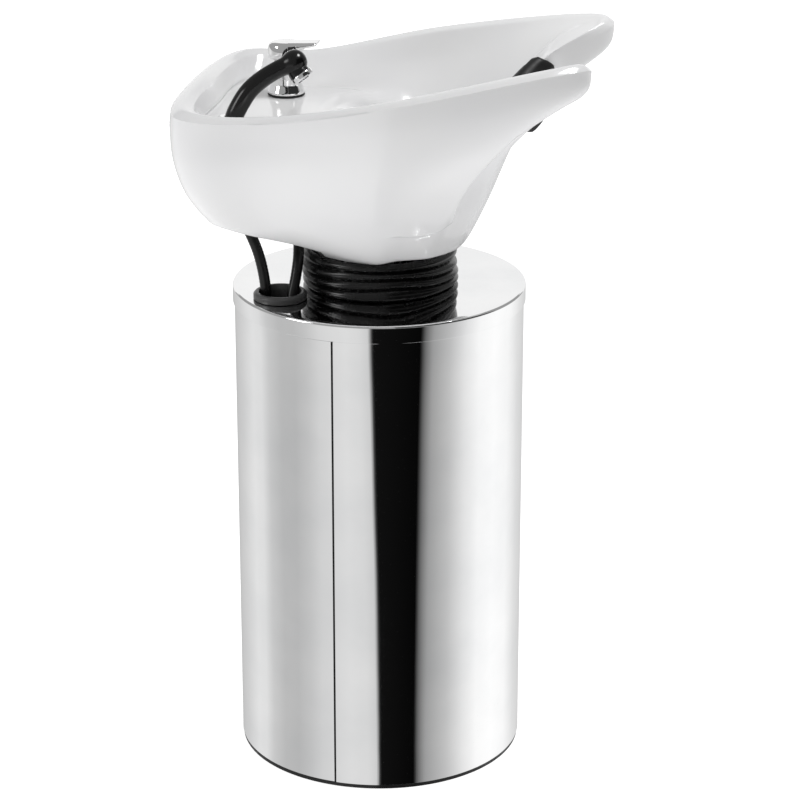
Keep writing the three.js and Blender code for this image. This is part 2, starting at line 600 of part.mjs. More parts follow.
// Shower hose, 1.55 m: mixer outlet, down into the guide, a loop inside the pedestal,
// up through the guide again to the handset's tail.
const SHOWER_HOSE = [
  [-145, 74, 888], [-145, 72, 868], [-142.5, 62, 843], [-136, 41, 820], [-125, 12, 801],
  [-113.5, -19, 782], [-104, -45, 759], [-99.5, -66, 732], [-100.5, -81, 706], [-104, -91, 680],
  [-105.5, -98, 650], [-103, -104, 615], [-93, -110, 565], [-72, -117, 490], [-49, -120, 420],
  [-34, -122, 355], [-29.5, -122, 296], [-29.5, -121.5, 246], [-37.7, -120.5, 215.5], [-60, -119, 193.2],
  [-90.5, -117, 185], [-121, -115, 193.2], [-143.3, -112.5, 215.5], [-151.5, -110.5, 246],
  [-152, -108.5, 300], [-151, -107, 380], [-149, -105, 460], [-145, -104, 540], [-139.5, -102, 610],
  [-136.5, -101, 655], [-138.5, -101, 700], [-146.5, -100, 740],
  [-160, -99.5, 774], [-175, -99, 801], [-186, -99, 825], [-190.8, -98.7, 846], [-190.2, -98.1, 867.2],
];

// ---- mixer and handset -----------------------------------------------------------------
const handsetAxis = new THREE.Vector3(
  Math.sin(rad(HANDSET.lean)) * Math.cos(rad(HANDSET.turn)),
  Math.sin(rad(HANDSET.lean)) * Math.sin(rad(HANDSET.turn)), Math.cos(rad(HANDSET.lean)));
const handsetTilt = new THREE.Quaternion().setFromUnitVectors(new THREE.Vector3(0, 0, 1), handsetAxis);
const forward = new THREE.Vector3(Math.cos(rad(HANDSET.turn)), Math.sin(rad(HANDSET.turn)), 0);

const leaning = (geometry) => geometry.applyQuaternion(handsetTilt)
  .translate(HANDSET.x, HANDSET.y, DECK_Z);

// Point of the handset's curve: a forward distance and a height over the ledge.
const handsetPoint = (ahead, up) => new THREE.Vector3(HANDSET.x, HANDSET.y, DECK_Z + up)
  .addScaledVector(forward, ahead);

function mixer() {
  const z = DECK_Z + 0.8;
  const at = [MIXER.x, MIXER.y, 0];
  add('mixer_gasket', ring(MIXER.shank + 0.6, 25.8, z, z + 2, 28), rubber, at);
  add('mixer_body', turned([[0, z - 30], [MIXER.shank, z - 30],
    [MIXER.shank, z + 2 + GAP], [25.5, z + 2 + GAP], [25.5, z + 6],
    [23, z + 12], [21, z + 17], [20, z + 38], [17.5, z + 43], [0, z + 43]], 28), chrome, at);
  add('mixer_nut', cut(rod(24, DECK_UNDER - 8, DECK_UNDER - GAP, 0, 0, 6),
    rod(MIXER.shank + 0.4, DECK_UNDER - 12, DECK_UNDER + 2, 0, 0, 28)), brass, at);
  // The lever's socket rides on the cap's ball, so it can lift and still turn with the cap.
  const pivot = LEVER_PIVOT_Z;
  const ball = 17;
  const arc = Array.from({ length: 6 }, (_, i) => {
    const a = (i * Math.PI) / 10;
    return [ball * Math.cos(a), pivot + ball * Math.sin(a)];
  });
  arc[5][0] = 0;
  add('mixer_cartridge_cap', turned([[0, z + 43.3], [ball, z + 43.3], ...arc], 24), chrome, at);
  const hood = turned([[0, pivot + 7], [24, pivot + 7], [25, pivot + 12], [24, pivot + 27], [0, pivot + 29]], 24);
  const shape = new THREE.Shape();
  shape.moveTo(0, pivot + 22);
  shape.lineTo(22, pivot + 20);
  shape.lineTo(44, pivot + 26);
  shape.lineTo(44, pivot + 31);
  shape.lineTo(0, pivot + 30);
  const blade = new THREE.ExtrudeGeometry(shape, { depth: 34, bevelEnabled: false })
    .rotateX(Math.PI / 2).translate(0, 17, 0);
  const socket = new THREE.SphereGeometry(ball + 0.6, 24, 16).translate(0, 0, pivot);
  add('mixer_lever', cut(join(hood, blade), socket), chrome, at);
  add('lever_plug', rodY(2.6, -26.6, -25.4, 4, pivot + 12, 12), blackGloss, at);
}

function handset() {
  const onAxis = (distance) => handsetPoint(0, 0).addScaledVector(handsetAxis, distance);
  const spine = [onAxis(-36), onAxis(-14), onAxis(0), onAxis(16), handsetPoint(21, 44), handsetPoint(42, 61.5),
    handsetPoint(64, 73.5), handsetPoint(80, 79.5)];
  const grip = pipe(spine.map((p) => p.toArray()), HANDSET.r, 0, 12, 18);
  const head = new THREE.SphereGeometry(17, 14, 10).translate(...handsetPoint(84, 80.5).toArray());
  add('handset_body', join(grip, head), blackGloss);
  const nozzleAxis = new THREE.Vector3(0.62, -0.1, -0.78).normalize();
  const turn = new THREE.Quaternion().setFromUnitVectors(new THREE.Vector3(0, 0, 1), nozzleAxis);
  const nozzle = (geometry) => geometry.applyQuaternion(turn).translate(...handsetPoint(80, 80).toArray());
  add('spray_ring', nozzle(turned([[12, 19], [16.6, 19], [16.6, 26], [12, 27], [12, 19]], 24)), chrome);
  add('spray_face', nozzle(turned([[0, 19.4], [11.6, 19.4], [11.6, 26], [0, 27.5]], 20)), greyPlastic);
  add('hose_ferrule', leaning(turned([[0, -50], [9.5, -50], [10.5, -40], [10.5, -36.6], [0, -36.6]], 20)), chrome);
  add('deck_bush', leaning(turned([[13.4, -12], [18.2, -12], [18.2, 4.3], [22, 6.4], [20, 9], [13.4, 9], [13.4, -12]], 28)),
    chrome);
}

// ---- neck rest -------------------------------------------------------------------------
// Rubber saddle over the notch: the lip's own surface, moved out by a gap and a thickness.
const PAD_THICK = 11;
function neckRest() {
  const rows = [...innerRows.slice(0, 4).reverse(), ...lip, ...outerRows.slice(0, 4)];
  const reach = 3;
  const columns = Array.from({ length: 2 * reach + 1 }, (_, k) => (k - reach + AROUND) % AROUND);
  const point = (i, j) => new THREE.Vector3(...rows[i][(j + AROUND) % AROUND]);
  const normalAt = (i, j) => {
    const along = point(i, j + 1).sub(point(i, j - 1));
    const across = point(Math.min(i + 1, rows.length - 1), j).sub(point(Math.max(i - 1, 0), j));
    return across.cross(along).normalize();
  };
  const outward = normalAt(5, 0).z > 0 ? 1 : -1;
  const sheet = (offset) => columns.map((j) => rows.map((_, i) =>
    point(i, j).addScaledVector(normalAt(i, j), outward * offset).toArray()));
  return thickSheet(sheet(1.2), sheet(PAD_THICK));
}

// ---- assembly --------------------------------------------------------------------------
add('base_plate', basePlate(), darkSteel);
add('base_ring', baseRing(), rubber);
postBolts.forEach(([x, y], i) => add(`foot_bolt_${i + 1}`, footBolt(), steel, [x, y, 0]));
add('post', post(), steel);
add('tilt_yoke', tiltYoke(), steel);
add('top_cover', topCover(), mirrorSteel);
add('hose_guide', hoseGuide(), greyPlastic);
add('bellows', bellows(), rubber);
accessDoor();
stopValve('hot', 1, redPlastic);
stopValve('cold', -1, bluePlastic);
add('tilt_cradle', tiltCradle(), steel);
pivotSide('left', 1);
pivotSide('right', -1);
basinFixings();
add('basin', basin(), ceramic);
add('neck_rest', neckRest(), rubber);
waste();
mixer();
handset();
supplyTail('hot', 1, [[-90, 60, 800], [-131, 80, 855], [-138.8, 88.5, 878], [-138.8, 88.5, 888.4]]);
supplyTail('cold', -1, [[-92, -32, 790], [-130, -26, 828], [-160, 15, 848], [-166, 62, 858],
  [-153, 86, 874], [-151.2, 88.5, 888.4]]);
add('shower_hose', pipe(SHOWER_HOSE, HOSE_R, 0, 8, 52), rubber);

export default unit;
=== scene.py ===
"""Shampoo backwash unit: the looks around its CAD frame.

Metres, +Z up, origin on the floor under the pedestal's centre. +X is the client's side, with the
neck notch; -X is the tap side, with mixer and hand shower.
"""
import json
import math

import bmesh
import bpy
import numpy as np
from mathutils import Matrix, Vector


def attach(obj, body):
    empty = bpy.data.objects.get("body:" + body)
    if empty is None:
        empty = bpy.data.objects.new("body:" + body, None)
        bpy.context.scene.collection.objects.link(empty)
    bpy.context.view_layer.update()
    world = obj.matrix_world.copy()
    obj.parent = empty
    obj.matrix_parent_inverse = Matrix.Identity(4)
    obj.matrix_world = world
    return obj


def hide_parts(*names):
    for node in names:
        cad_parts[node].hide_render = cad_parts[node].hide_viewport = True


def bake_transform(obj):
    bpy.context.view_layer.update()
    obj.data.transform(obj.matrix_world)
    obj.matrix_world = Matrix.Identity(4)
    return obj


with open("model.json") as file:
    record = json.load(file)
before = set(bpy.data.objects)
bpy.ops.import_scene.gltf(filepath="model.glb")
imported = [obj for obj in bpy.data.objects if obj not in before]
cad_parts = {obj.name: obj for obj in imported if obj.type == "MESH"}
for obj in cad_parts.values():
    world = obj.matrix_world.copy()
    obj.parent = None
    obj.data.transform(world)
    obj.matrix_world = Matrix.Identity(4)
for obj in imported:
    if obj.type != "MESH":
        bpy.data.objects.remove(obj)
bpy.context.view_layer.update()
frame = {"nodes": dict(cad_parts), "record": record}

# ---- camera ------------------------------------------------------------------------------
CAMERA_AZIMUTH = math.radians(10)
CAMERA_PITCH = math.radians(20.1)
CAMERA_BACK = 3.81
CAMERA_ASIDE = 0.0286
CAMERA_HEIGHT = 1.90
CAMERA_LENS = 130.2
FLOOR_REACH = 40

ahead = Vector((-math.sin(CAMERA_AZIMUTH), math.cos(CAMERA_AZIMUTH), 0))
aside = Vector((math.cos(CAMERA_AZIMUTH), math.sin(CAMERA_AZIMUTH), 0))
camera = bpy.data.objects.new("camera", bpy.data.cameras.new("camera"))
bpy.context.scene.collection.objects.link(camera)
camera.location = aside * CAMERA_ASIDE - ahead * CAMERA_BACK + Vector((0, 0, CAMERA_HEIGHT))
camera.rotation_euler = (math.pi / 2 - CAMERA_PITCH, 0, CAMERA_AZIMUTH)
camera.data.lens = CAMERA_LENS
camera.data.clip_end = 2.5 * FLOOR_REACH
bpy.context.scene.camera = camera
bpy.context.scene.view_settings.view_transform = "Standard"


# ---- node materials ----------------------------------------------------------------------
NOISE_LOW, NOISE_HIGH = 0.3, 0.7  # a noise's values mostly lie between these


class Paint:
    """A Principled material with procedural colour, roughness and bump."""

    def __init__(self, name, **sockets):
        self.material = bpy.data.materials.new(name)
        self.material.use_nodes = True
        self.tree = self.material.node_tree
        self.shader = self.tree.nodes["Principled BSDF"]
        for socket, value in sockets.items():
            self.shader.inputs[socket.replace("_", " ")].default_value = value
        self.place = self.node("ShaderNodeTexCoord").outputs["Object"]
        self.normal = None

    def node(self, kind, **inputs):
        made = self.tree.nodes.new(kind)
        for socket, value in inputs.items():
            made.inputs[socket.replace("_", " ")].default_value = value
        return made

    def link(self, source, target):
        self.tree.links.new(source, target)

    def noise(self, scale, stretch=(1, 1, 1), detail=4):
        mapping = self.node("ShaderNodeMapping", Scale=stretch)
        self.link(self.place, mapping.inputs["Vector"])
        made = self.node("ShaderNodeTexNoise", Scale=scale, Detail=detail)
        self.link(mapping.outputs["Vector"], made.inputs["Vector"])
        return made.outputs["Fac"]

    def rough(self, source, low, high):
        made = self.node("ShaderNodeMapRange", From_Min=NOISE_LOW, From_Max=NOISE_HIGH,
                         To_Min=low, To_Max=high)
        self.link(source, made.inputs["Value"])
        self.link(made.outputs["Result"], self.shader.inputs["Roughness"])
        return self

    def stops(self, source, *stops):
        """Colours for a value from 0 to 1, between stops of a position and a colour."""
        made = self.node("ShaderNodeValToRGB")
        elements = made.color_ramp.elements
        while len(elements) < len(stops):
            elements.new(0.5)
        for element, (position, colour) in zip(elements, stops):
            element.position = position
            element.color = (*colour, 1)
        self.link(source, made.inputs["Fac"])
        return made.outputs["Color"]

    def colour(self, source, dark, light):
        stops = self.stops(source, (NOISE_LOW, dark), (NOISE_HIGH, light))
        self.link(stops, self.shader.inputs["Base Color"])
        return self

    def bump(self, source, strength, distance):
        made = self.node("ShaderNodeBump", Strength=strength, Distance=distance)
        self.link(source, made.inputs["Height"])
        if self.normal:
            self.link(self.normal, made.inputs["Normal"])
        self.normal = made.outputs["Normal"]
        self.link(self.normal, self.shader.inputs["Normal"])
        return self

    def glow(self, strength, colour=None):
        """Gives off light, in place of the Principled shader."""
        made = self.node("ShaderNodeEmission", Strength=strength)
        if colour:
            self.link(colour, made.inputs["Color"])
        self.link(made.outputs["Emission"], self.tree.nodes["Material Output"].inputs["Surface"])
        return self


def glaze():
    paint = Paint("ceramic_glaze", Specular_IOR_Level=0.35, Coat_Weight=0.22, Coat_Roughness=0.02)
    broad = paint.noise(5, detail=2)
    return paint.colour(broad, (0.785, 0.785, 0.795), (0.825, 0.825, 0.825)) \
        .rough(paint.noise(40), 0.1, 0.2) \
        .bump(broad, 0.2, 0.002).bump(paint.noise(900, detail=1), 0.02, 0.0002).material


def mirror_steel():
    """Polished sheet: long faint waves, fine polishing lines and a little haze."""
    paint = Paint("mirror_steel", Metallic=1.0)
    waves = paint.noise(3.2, (1, 1, 0.55), detail=2)
    lines = paint.noise(260, (1, 1, 0.03), detail=3)
    return paint.colour(paint.noise(9), (0.80, 0.805, 0.81), (0.88, 0.88, 0.88)) \
        .rough(paint.noise(14, (1, 1, 0.3), detail=6), 0.02, 0.06) \
        .bump(waves, 0.35, 0.004).bump(lines, 0.012, 0.0004).material


def metal(name, dark, light, rough, grain=400, stretch=(1, 1, 1), depth=0.0002):
    paint = Paint(name, Metallic=1.0)
    return paint.colour(paint.noise(25), dark, light) \
        .rough(paint.noise(60, detail=6), *rough) \
        .bump(paint.noise(grain, stretch, detail=3), 0.15, depth).material


def moulded(name, dark, light, rough, grain=700, depth=0.0002, coat=0.0):
    paint = Paint(name, Specular_IOR_Level=0.35, Coat_Weight=coat, Coat_Roughness=0.05)
    return paint.colour(paint.noise(30, detail=5), dark, light) \
        .rough(paint.noise(55, detail=5), *rough) \
        .bump(paint.noise(grain, detail=2), 0.12, depth).material


def grey(value):
    return (value, value, value)


GLAZE = glaze()
MIRROR = mirror_steel()
CHROME = metal("chrome_plate", grey(0.82), grey(0.9), (0.03, 0.08), grain=60, depth=0.0003)
SATIN = metal("satin_steel", grey(0.42), grey(0.55), (0.28, 0.42), grain=300, stretch=(1, 1, 0.05))
BRASS = metal("plain_brass", (0.55, 0.39, 0.16), (0.7, 0.52, 0.25), (0.2, 0.35))
BELLOWS_RUBBER = moulded("glossy_rubber", grey(0.003), grey(0.007), (0.16, 0.34), 300, 0.0003, 0.12)
RUBBER = moulded("matt_rubber", grey(0.006), grey(0.013), (0.4, 0.6), 900, 0.0003)
HOSE_SKIN = moulded("hose_skin", grey(0.004), grey(0.01), (0.24, 0.4), 1200, 0.0002, 0.05)
BLACK_GLOSS = moulded("black_gloss", grey(0.003), grey(0.006), (0.14, 0.24), 90, 0.0002, 0.1)
DARK_PLASTIC = moulded("dark_plastic", grey(0.06), grey(0.09), (0.25, 0.4), 800, 0.0002)
SPRAY_PLASTIC = moulded("spray_plastic", grey(0.03), grey(0.05), (0.35, 0.5), 600, 0.0002)
WHITE_PLASTIC = moulded("white_plastic", grey(0.72), grey(0.8), (0.3, 0.45))
RED_PLASTIC = moulded("red_plastic", (0.42, 0.015, 0.01), (0.55, 0.03, 0.02), (0.2, 0.35))
BLUE_PLASTIC = moulded("blue_plastic", (0.01, 0.05, 0.32), (0.02, 0.08, 0.45), (0.2, 0.35))
POWDER_COAT = moulded("powder_coat", grey(0.025), grey(0.045), (0.45, 0.6), 500, 0.0004)
WASTE_SKIN = moulded("waste_skin", grey(0.3), grey(0.38), (0.35, 0.5), 400, 0.0003)
BRAID = metal("braid", grey(0.35), grey(0.6), (0.25, 0.45), grain=1500, depth=0.0006)


# ---- mesh helpers ------------------------------------------------------------------------
def smooth_shaded(made, sharp=35):
    """Shades smoothly, up to an angle in degrees between faces."""
    made.data.shade_smooth()
    made.data.set_sharp_from_angle(angle=math.radians(sharp))
    return made


def made_mesh(name, points, faces, material, sharp=35):
    mesh = bpy.data.meshes.new(name)
    mesh.from_pydata([tuple(map(float, p)) for p in points], [], [tuple(map(int, f)) for f in faces])
    mesh.validate()
    made = bpy.data.objects.new(name, mesh)
    bpy.context.scene.collection.objects.link(made)
    mesh.materials.append(material)
    return smooth_shaded(made, sharp)


def grid_faces(rows, columns, around=True, along=False):
    """Quads over a grid of points stored row by row."""
    faces = []
    for i in range(rows if along else rows - 1):
        for j in range(columns if around else columns - 1):
            k, m = (j + 1) % columns, (i + 1) % rows
            faces.append((i * columns + j, i * columns + k, m * columns + k, m * columns + j))
    return faces


def facing_out(made):
    """Points every face of a closed mesh outward."""
    mesh = made.data
    volume = sum(Vector(mesh.vertices[p.vertices[0]].co).dot(p.normal) * p.area for p in mesh.polygons)
    if volume < 0:
        mesh.flip_normals()
    return made


def closed_loft(name, rows, material, ends=True, sharp=35):
    """Closed body over rows of points; the ends are capped, or the last row meets the first."""
    rows = np.asarray(rows, float)
    count, columns = rows.shape[:2]
    points = rows.reshape(-1, 3)
    faces = grid_faces(count, columns, along=not ends)
    if ends:
        hub = len(points)
        points = np.vstack([points, rows[0].mean(axis=0), rows[-1].mean(axis=0)])
        for j in range(columns):
            k = (j + 1) % columns
            faces += [(k, j, hub), ((count - 1) * columns + j, (count - 1) * columns + k, hub + 1)]
    made = made_mesh(name, points, faces, material, sharp)
    work = bmesh.new()
    work.from_mesh(made.data)
    bmesh.ops.remove_doubles(work, verts=work.verts, dist=1e-6)
    work.to_mesh(made.data)
    work.free()
    return facing_out(smooth_shaded(made, sharp))


def arc(cx, cy, radius, start, end, steps):
    """Points on a circular arc, angles in degrees."""
    return [(cx + radius * math.cos(math.radians(a)), cy + radius * math.sin(math.radians(a)))
            for a in np.linspace(start, end, steps)]


def eased(profile, radius):
    """Rounds the corners of a closed outline of 2-D points."""
    points = [Vector((*p, 0)) for p in profile]
    out = []
    for i, p in enumerate(points):
        before, after = points[i - 1] - p, points[(i + 1) % len(points)] - p
        reach = min(radius, before.length * 0.45, after.length * 0.45)
        a, b = p + before.normalized() * reach, p + after.normalized() * reach
        for t in (0, 0.25, 0.5, 0.75, 1):
            q = a * (1 - t) ** 2 + p * 2 * t * (1 - t) + b * t ** 2
            out.append((q.x, q.y))
    return out


def outline_mm(points, ease=0.0008):
    """Rounded outline in metres, from one in millimetres."""
    return eased([(r / 1000, z / 1000) for r, z in points], ease)


def turned(name, profile, material, centre=(0, 0), steps=96, span=None, sharp=35):
    """Turned piece from a closed outline of (radius, z); span limits it to an arc in degrees."""
    first, last = span or (0, 360)
    angles = np.radians(np.linspace(first, last, steps, endpoint=bool(span)))
    rows = [[(centre[0] + r * math.cos(a), centre[1] + r * math.sin(a), z) for r, z in profile]
            for a in angles]
    return closed_loft(name, rows, material, ends=bool(span), sharp=sharp)


def spline(p0, p1, p2, p3, t):
    """Catmull-Rom curve between p1 and p2."""
    return 0.5 * (2 * p1 + (p2 - p0) * t + (2 * p0 - 5 * p1 + 4 * p2 - p3) * t ** 2
                  + (3 * p1 - p0 - 3 * p2 + p3) * t ** 3)


def smooth_path(points, count):
    """Evenly spaced points on a Catmull-Rom curve."""
    p = np.asarray(points, float)
    p = np.vstack([2 * p[0] - p[1], p, 2 * p[-1] - p[-2]])
    fine = []
    for i in range(1, len(p) - 2):
        for t in np.linspace(0, 1, 24, endpoint=False):
            fine.append(spline(p[i - 1], p[i], p[i + 1], p[i + 2], t))
    fine = np.array(fine + [p[-2]])
    run = np.concatenate([[0], np.cumsum(np.linalg.norm(np.diff(fine, axis=0), axis=1))])
    even = np.linspace(0, run[-1], count)
    return np.stack([np.interp(even, run, fine[:, c]) for c in range(3)], axis=1)


def tube(name, path, radii, material, sides=32, sharp=60):
    """Round body along a path; radii is one number or one per path point."""
    path = np.asarray(path, float)
    radii = np.broadcast_to(radii, len(path))
    tangents = np.gradient(path, axis=0)
    tangents /= np.linalg.norm(tangents, axis=1)[:, None]
    side = np.cross(tangents[0], (0.3, 0.9, 0.1))
    turn = np.linspace(0, 2 * math.pi, sides, endpoint=False)
    rows = []
    for p, t, r in zip(path, tangents, radii):
        side = side - t * side.dot(t)
        side /= np.linalg.norm(side)
        rows.append(p + r * (np.outer(np.cos(turn), side) + np.outer(np.sin(turn), np.cross(t, side))))
    return closed_loft(name, rows, material, sharp=sharp)


def merged(first, others):
    """Joins separate bodies into one mesh."""
    work = bmesh.new()
    for made in (first, *others):
        work.from_mesh(made.data)
    work.to_mesh(first.data)
    work.free()
    for made in others:
        bpy.data.objects.remove(made)
    return smooth_shaded(first)


def soften(made, width):
    """Welds split corners and rounds the sharp edges."""
    weld = made.modifiers.new("weld", "WELD")
    weld.merge_threshold = 1e-5
    bevel = made.modifiers.new("soft_edges", "BEVEL")
    bevel.width, bevel.segments, bevel.limit_method = width, 2, "ANGLE"
    bevel.angle_limit = math.radians(35)
    weighted = made.modifiers.new("normals", "WEIGHTED_NORMAL")
    weighted.keep_sharp = False


def combine(made, operation, *others):
    """Applies boolean operations with other meshes, which are used up."""
    for other in others:
        modifier = made.modifiers.new("combine", "BOOLEAN")
        modifier.operation = operation
        modifier.solver = "EXACT"
        modifier.object = other
    graph = bpy.context.evaluated_depsgraph_get()
    mesh = bpy.data.meshes.new_from_object(made.evaluated_get(graph))
    made.modifiers.clear()
    made.data = mesh
    for other in others:
        bpy.data.objects.remove(other)
    return made


def piece(made, body, slot, *nodes):
    """Rides on a body and stands for the CAD nodes, which it hides; the slot is not used."""
    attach(made, body)
    if nodes:
        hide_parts(*nodes)
    return made


# ---- shower hose: the one free cord --------------------------------------------------------
HOSE_RADIUS = 0.0075
HOSE_ROUTE = np.array([           # from the mixer's outlet, round the hanging loop, to the handset
    (-145, 74, 888), (-145, 72, 868), (-142.5, 62, 843), (-136, 41, 820), (-125, 12, 801),
    (-113.5, -19, 782), (-104, -45, 759), (-99.5, -66, 732), (-100.5, -81, 706), (-104, -91, 680),
    (-105.5, -98, 650), (-103, -104, 615), (-93, -110, 565), (-72, -117, 490), (-49, -120, 420),
    (-34, -122, 355), (-29.5, -122, 296), (-29.5, -121.5, 246), (-37.7, -120.5, 215.5), (-60, -119, 193.2),
    (-90.5, -117, 185), (-121, -115, 193.2), (-143.3, -112.5, 215.5), (-151.5, -110.5, 246),
    (-152, -108.5, 300), (-151, -107, 380), (-149, -105, 460), (-145, -104, 540), (-139.5, -102, 610),
    (-136.5, -101, 655), (-138.5, -101, 700), (-146.5, -100, 740), (-160, -99.5, 774), (-175, -99, 801),
    (-186, -99, 825), (-190.8, -98.7, 846), (-190.2, -98.1, 867.2)]) / 1000


def shower_hose():
    path = smooth_path(HOSE_ROUTE, 620)
    ribs = HOSE_RADIUS * (1 - 0.035 * (np.arange(len(path)) % 2))
    hose = tube("hose", path, ribs, HOSE_SKIN, sides=24, sharp=80)
    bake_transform(hose)
    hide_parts("shower_hose")


shower_hose()

# ---- basin -------------------------------------------------------------------------------
# Loops run from the front centre over the notch side, horn tip, front side, side, rear side and
# rear corner to the back centre, as (x, half width, z) in mm. The other half mirrors them.
OUTER_LOOPS = np.array([
    [(198, 0, 948), (230, 78, 986), (302, 133, 1021), (252, 180, 1022),
     (50, 232, 984), (-120, 207, 951), (-238, 186, 950), (-258, 0, 954)],
    [(202, 0, 925), (234, 82, 955), (292, 134, 989), (238, 176, 980),
     (48, 228, 950), (-122, 205, 930), (-240, 184, 928), (-261, 0, 930)],
    [(197, 0, 902), (208, 70, 914), (222, 116, 942), (190, 164, 925),
     (42, 214, 905), (-124, 200, 890), (-238, 180, 885), (-258, 0, 885)],
    [(180, 0, 864), (176, 62, 866), (150, 100, 866), (136, 138, 862),
     (34, 188, 850), (-120, 182, 845), (-226, 172, 842), (-244, 0, 842)],
    [(154, 0, 800), (148, 54, 800), (120, 90, 800), (98, 120, 795),
     (24, 156, 792), (-108, 156, 800), (-204, 158, 806), (-222, 0, 806)],
    [(128, 0, 748), (122, 47, 747), (100, 80, 746), (76, 102, 746),
     (14, 126, 749), (-90, 126, 768), (-185, 140, 790), (-205, 0, 790)],
    [(112, 0, 737), (106, 38, 737), (89, 68, 737), (64, 90, 737),
     (8, 104, 737), (-60, 80, 737), (-82, 44, 737), (-90, 0, 737)]]) / 1000
INNER_LOOPS = np.array([
    [(178, 0, 955), (214, 62, 986), (278, 126, 1024), (240, 160, 1023),
     (48, 212, 986), (-118, 187, 953), (-214, 162, 953), (-228, 0, 956)],
    [(168, 0, 940), (188, 62, 962), (222, 118, 1000), (196, 148, 992),
     (44, 196, 952), (-98, 162, 930), (-208, 140, 930), (-220, 0, 930)],
    [(158, 0, 915), (164, 54, 926), (168, 92, 938), (140, 126, 930),
     (46, 166, 915), (-76, 138, 919), (-196, 120, 919), (-210, 0, 919)],
    [(146, 0, 880), (146, 48, 884), (140, 80, 888), (112, 106, 884),
     (46, 138, 878), (-40, 112, 912), (-70, 80, 918), (-78, 0, 919)],
    [(130, 0, 838), (128, 42, 838), (118, 68, 838), (96, 90, 838),
     (46, 112, 834), (-14, 94, 850), (-44, 60, 860), (-54, 0, 862)],
    [(96, 0, 785), (94, 28, 785), (86, 46, 785), (72, 60, 785),
     (44, 70, 784), (12, 58, 788), (-4, 34, 792), (-10, 0, 793)]]) / 1000
STATIONS = 14                     # stations of a whole loop, both halves
HALF = STATIONS // 2
COLUMN_STEP = 1 / 24
ROW_STEP = 0.1
DECK = 0.919                      # tap ledge
DECK_UNDER = 0.903
DECK_EDGE = -0.02                 # the ledge lies on the tap side of this x
DRAIN_X = 0.042
DRAIN_HOLE = 0.0225
DRAIN_TOP = 0.768
FOOT = 0.737
LIP_CROWN = 0.006
WALL = 0.012
POCKET_FRONT = -0.058
RECESS = 0.0055                   # the belly is set back behind the apron's edge
BEAD = 0.0008                     # and the edge itself stands out
# Where the apron's edge runs: its station at a row, and its row at a station.
EDGE_STATION = ((0, 1.2, 1.7, 2.5, 3.0, 3.4, 3.7, 4.0, 5.0, 6.0),
                (3, 3, 2.93, 2.79, 2.6, 2.4, 2.25, 2.14, 2.5, 3.0))
EDGE_ROW = ((0, 2.14, 2.8, 3.2, 3.5, 3.7, 7), (4.0, 4.0, 4.08, 4.12, 4.08, 4.0, 4.0))


def smooth(x):
    x = np.clip(x, 0, 1)
    return x * x * (3 - 2 * x)


def loop_at(half, stations):
    """Points of a smooth closed loop at fractional stations."""
    whole = np.vstack([half, half[1:-1][::-1] * (1, -1, 1)])
    t = np.asarray(stations, float) % STATIONS
    i = np.floor(t).astype(int)
    pick = [whole[(i + k) % STATIONS] for k in (-1, 0, 1, 2)]
    return spline(*pick, (t - i)[..., None])


def surface(loops, rows, stations):
    """Points of the smooth surface through the loops, at fractional rows and stations."""
    at = np.array([loop_at(half, stations) for half in loops])
    i = np.clip(np.floor(rows).astype(int), 0, len(loops) - 2)
    pick = [np.take_along_axis(at, np.clip(i + k, 0, len(loops) - 1)[None, ..., None], 0)[0]
            for k in (-1, 0, 1, 2)]
    return spline(*pick, (rows - i)[..., None])


def normals_of(grid):
    """Unit normals of a grid of points that closes on itself from column to column."""
    along = np.roll(grid, -1, axis=1) - np.roll(grid, 1, axis=1)
    across = np.gradient(grid, axis=0)
    normal = np.cross(along, across)
    return normal / np.linalg.norm(normal, axis=2)[..., None]


def basin_columns():
    """Station numbers round the basin, closer together at the apron's front edges."""
    extra = np.array([2.88, 2.93, 2.97, 3.03, 3.07])
    even = np.arange(0, STATIONS, COLUMN_STEP)
    return np.unique(np.round(np.concatenate([even, extra, STATIONS - extra]), 4))


def outer_surface(columns):
    """The outside: column 3 runs down the apron's front edge, and row 4 along its lower edge."""
    even = np.arange(0, len(OUTER_LOOPS) - 0.99, ROW_STEP)
    rows = np.unique(np.round(np.concatenate([even, (3.96, 4.04, 4.07)]), 4))
    fold = np.minimum(columns, STATIONS - columns)
    stations = np.empty((len(rows), len(columns)))
    for k, level in enumerate(rows):
        edge = np.interp(level, *EDGE_STATION)
        half = np.interp(fold, (0, 3, 5, HALF), (0, edge, 5, HALF))
        stations[k] = np.where(columns > HALF, STATIONS - half, half)
    near = np.minimum(stations, STATIONS - stations)
    edge_row = np.interp(near, *EDGE_ROW)
    row = np.broadcast_to(rows[:, None], stations.shape)
    above_edge = np.maximum(row, 3 + (row - 3) * (edge_row - 3))
    below_edge = edge_row + (row - 4) * (5 - edge_row)
    bent = np.select([row < 3, row < 4, row <= 5], [row, above_edge, below_edge], row)
    grid = surface(OUTER_LOOPS, bent, stations)
    under_lip = smooth((row - 1.6) / 0.9)
    front = smooth((3 - fold[None, :]) / 0.1) * under_lip
    below = smooth((row - 4) / 0.1) * (1 - smooth((near - 3.45) / 0.5))
    bead = np.exp(-((fold[None, :] - 3.09) / 0.07) ** 2) * under_lip * (row <= 4)
    outward = normals_of(grid)
    outward *= np.sign((outward[10, :, :2] * grid[10, :, :2]).sum())
    depth = BEAD * bead - RECESS * np.maximum(front, below)
    return grid + outward * depth[..., None]


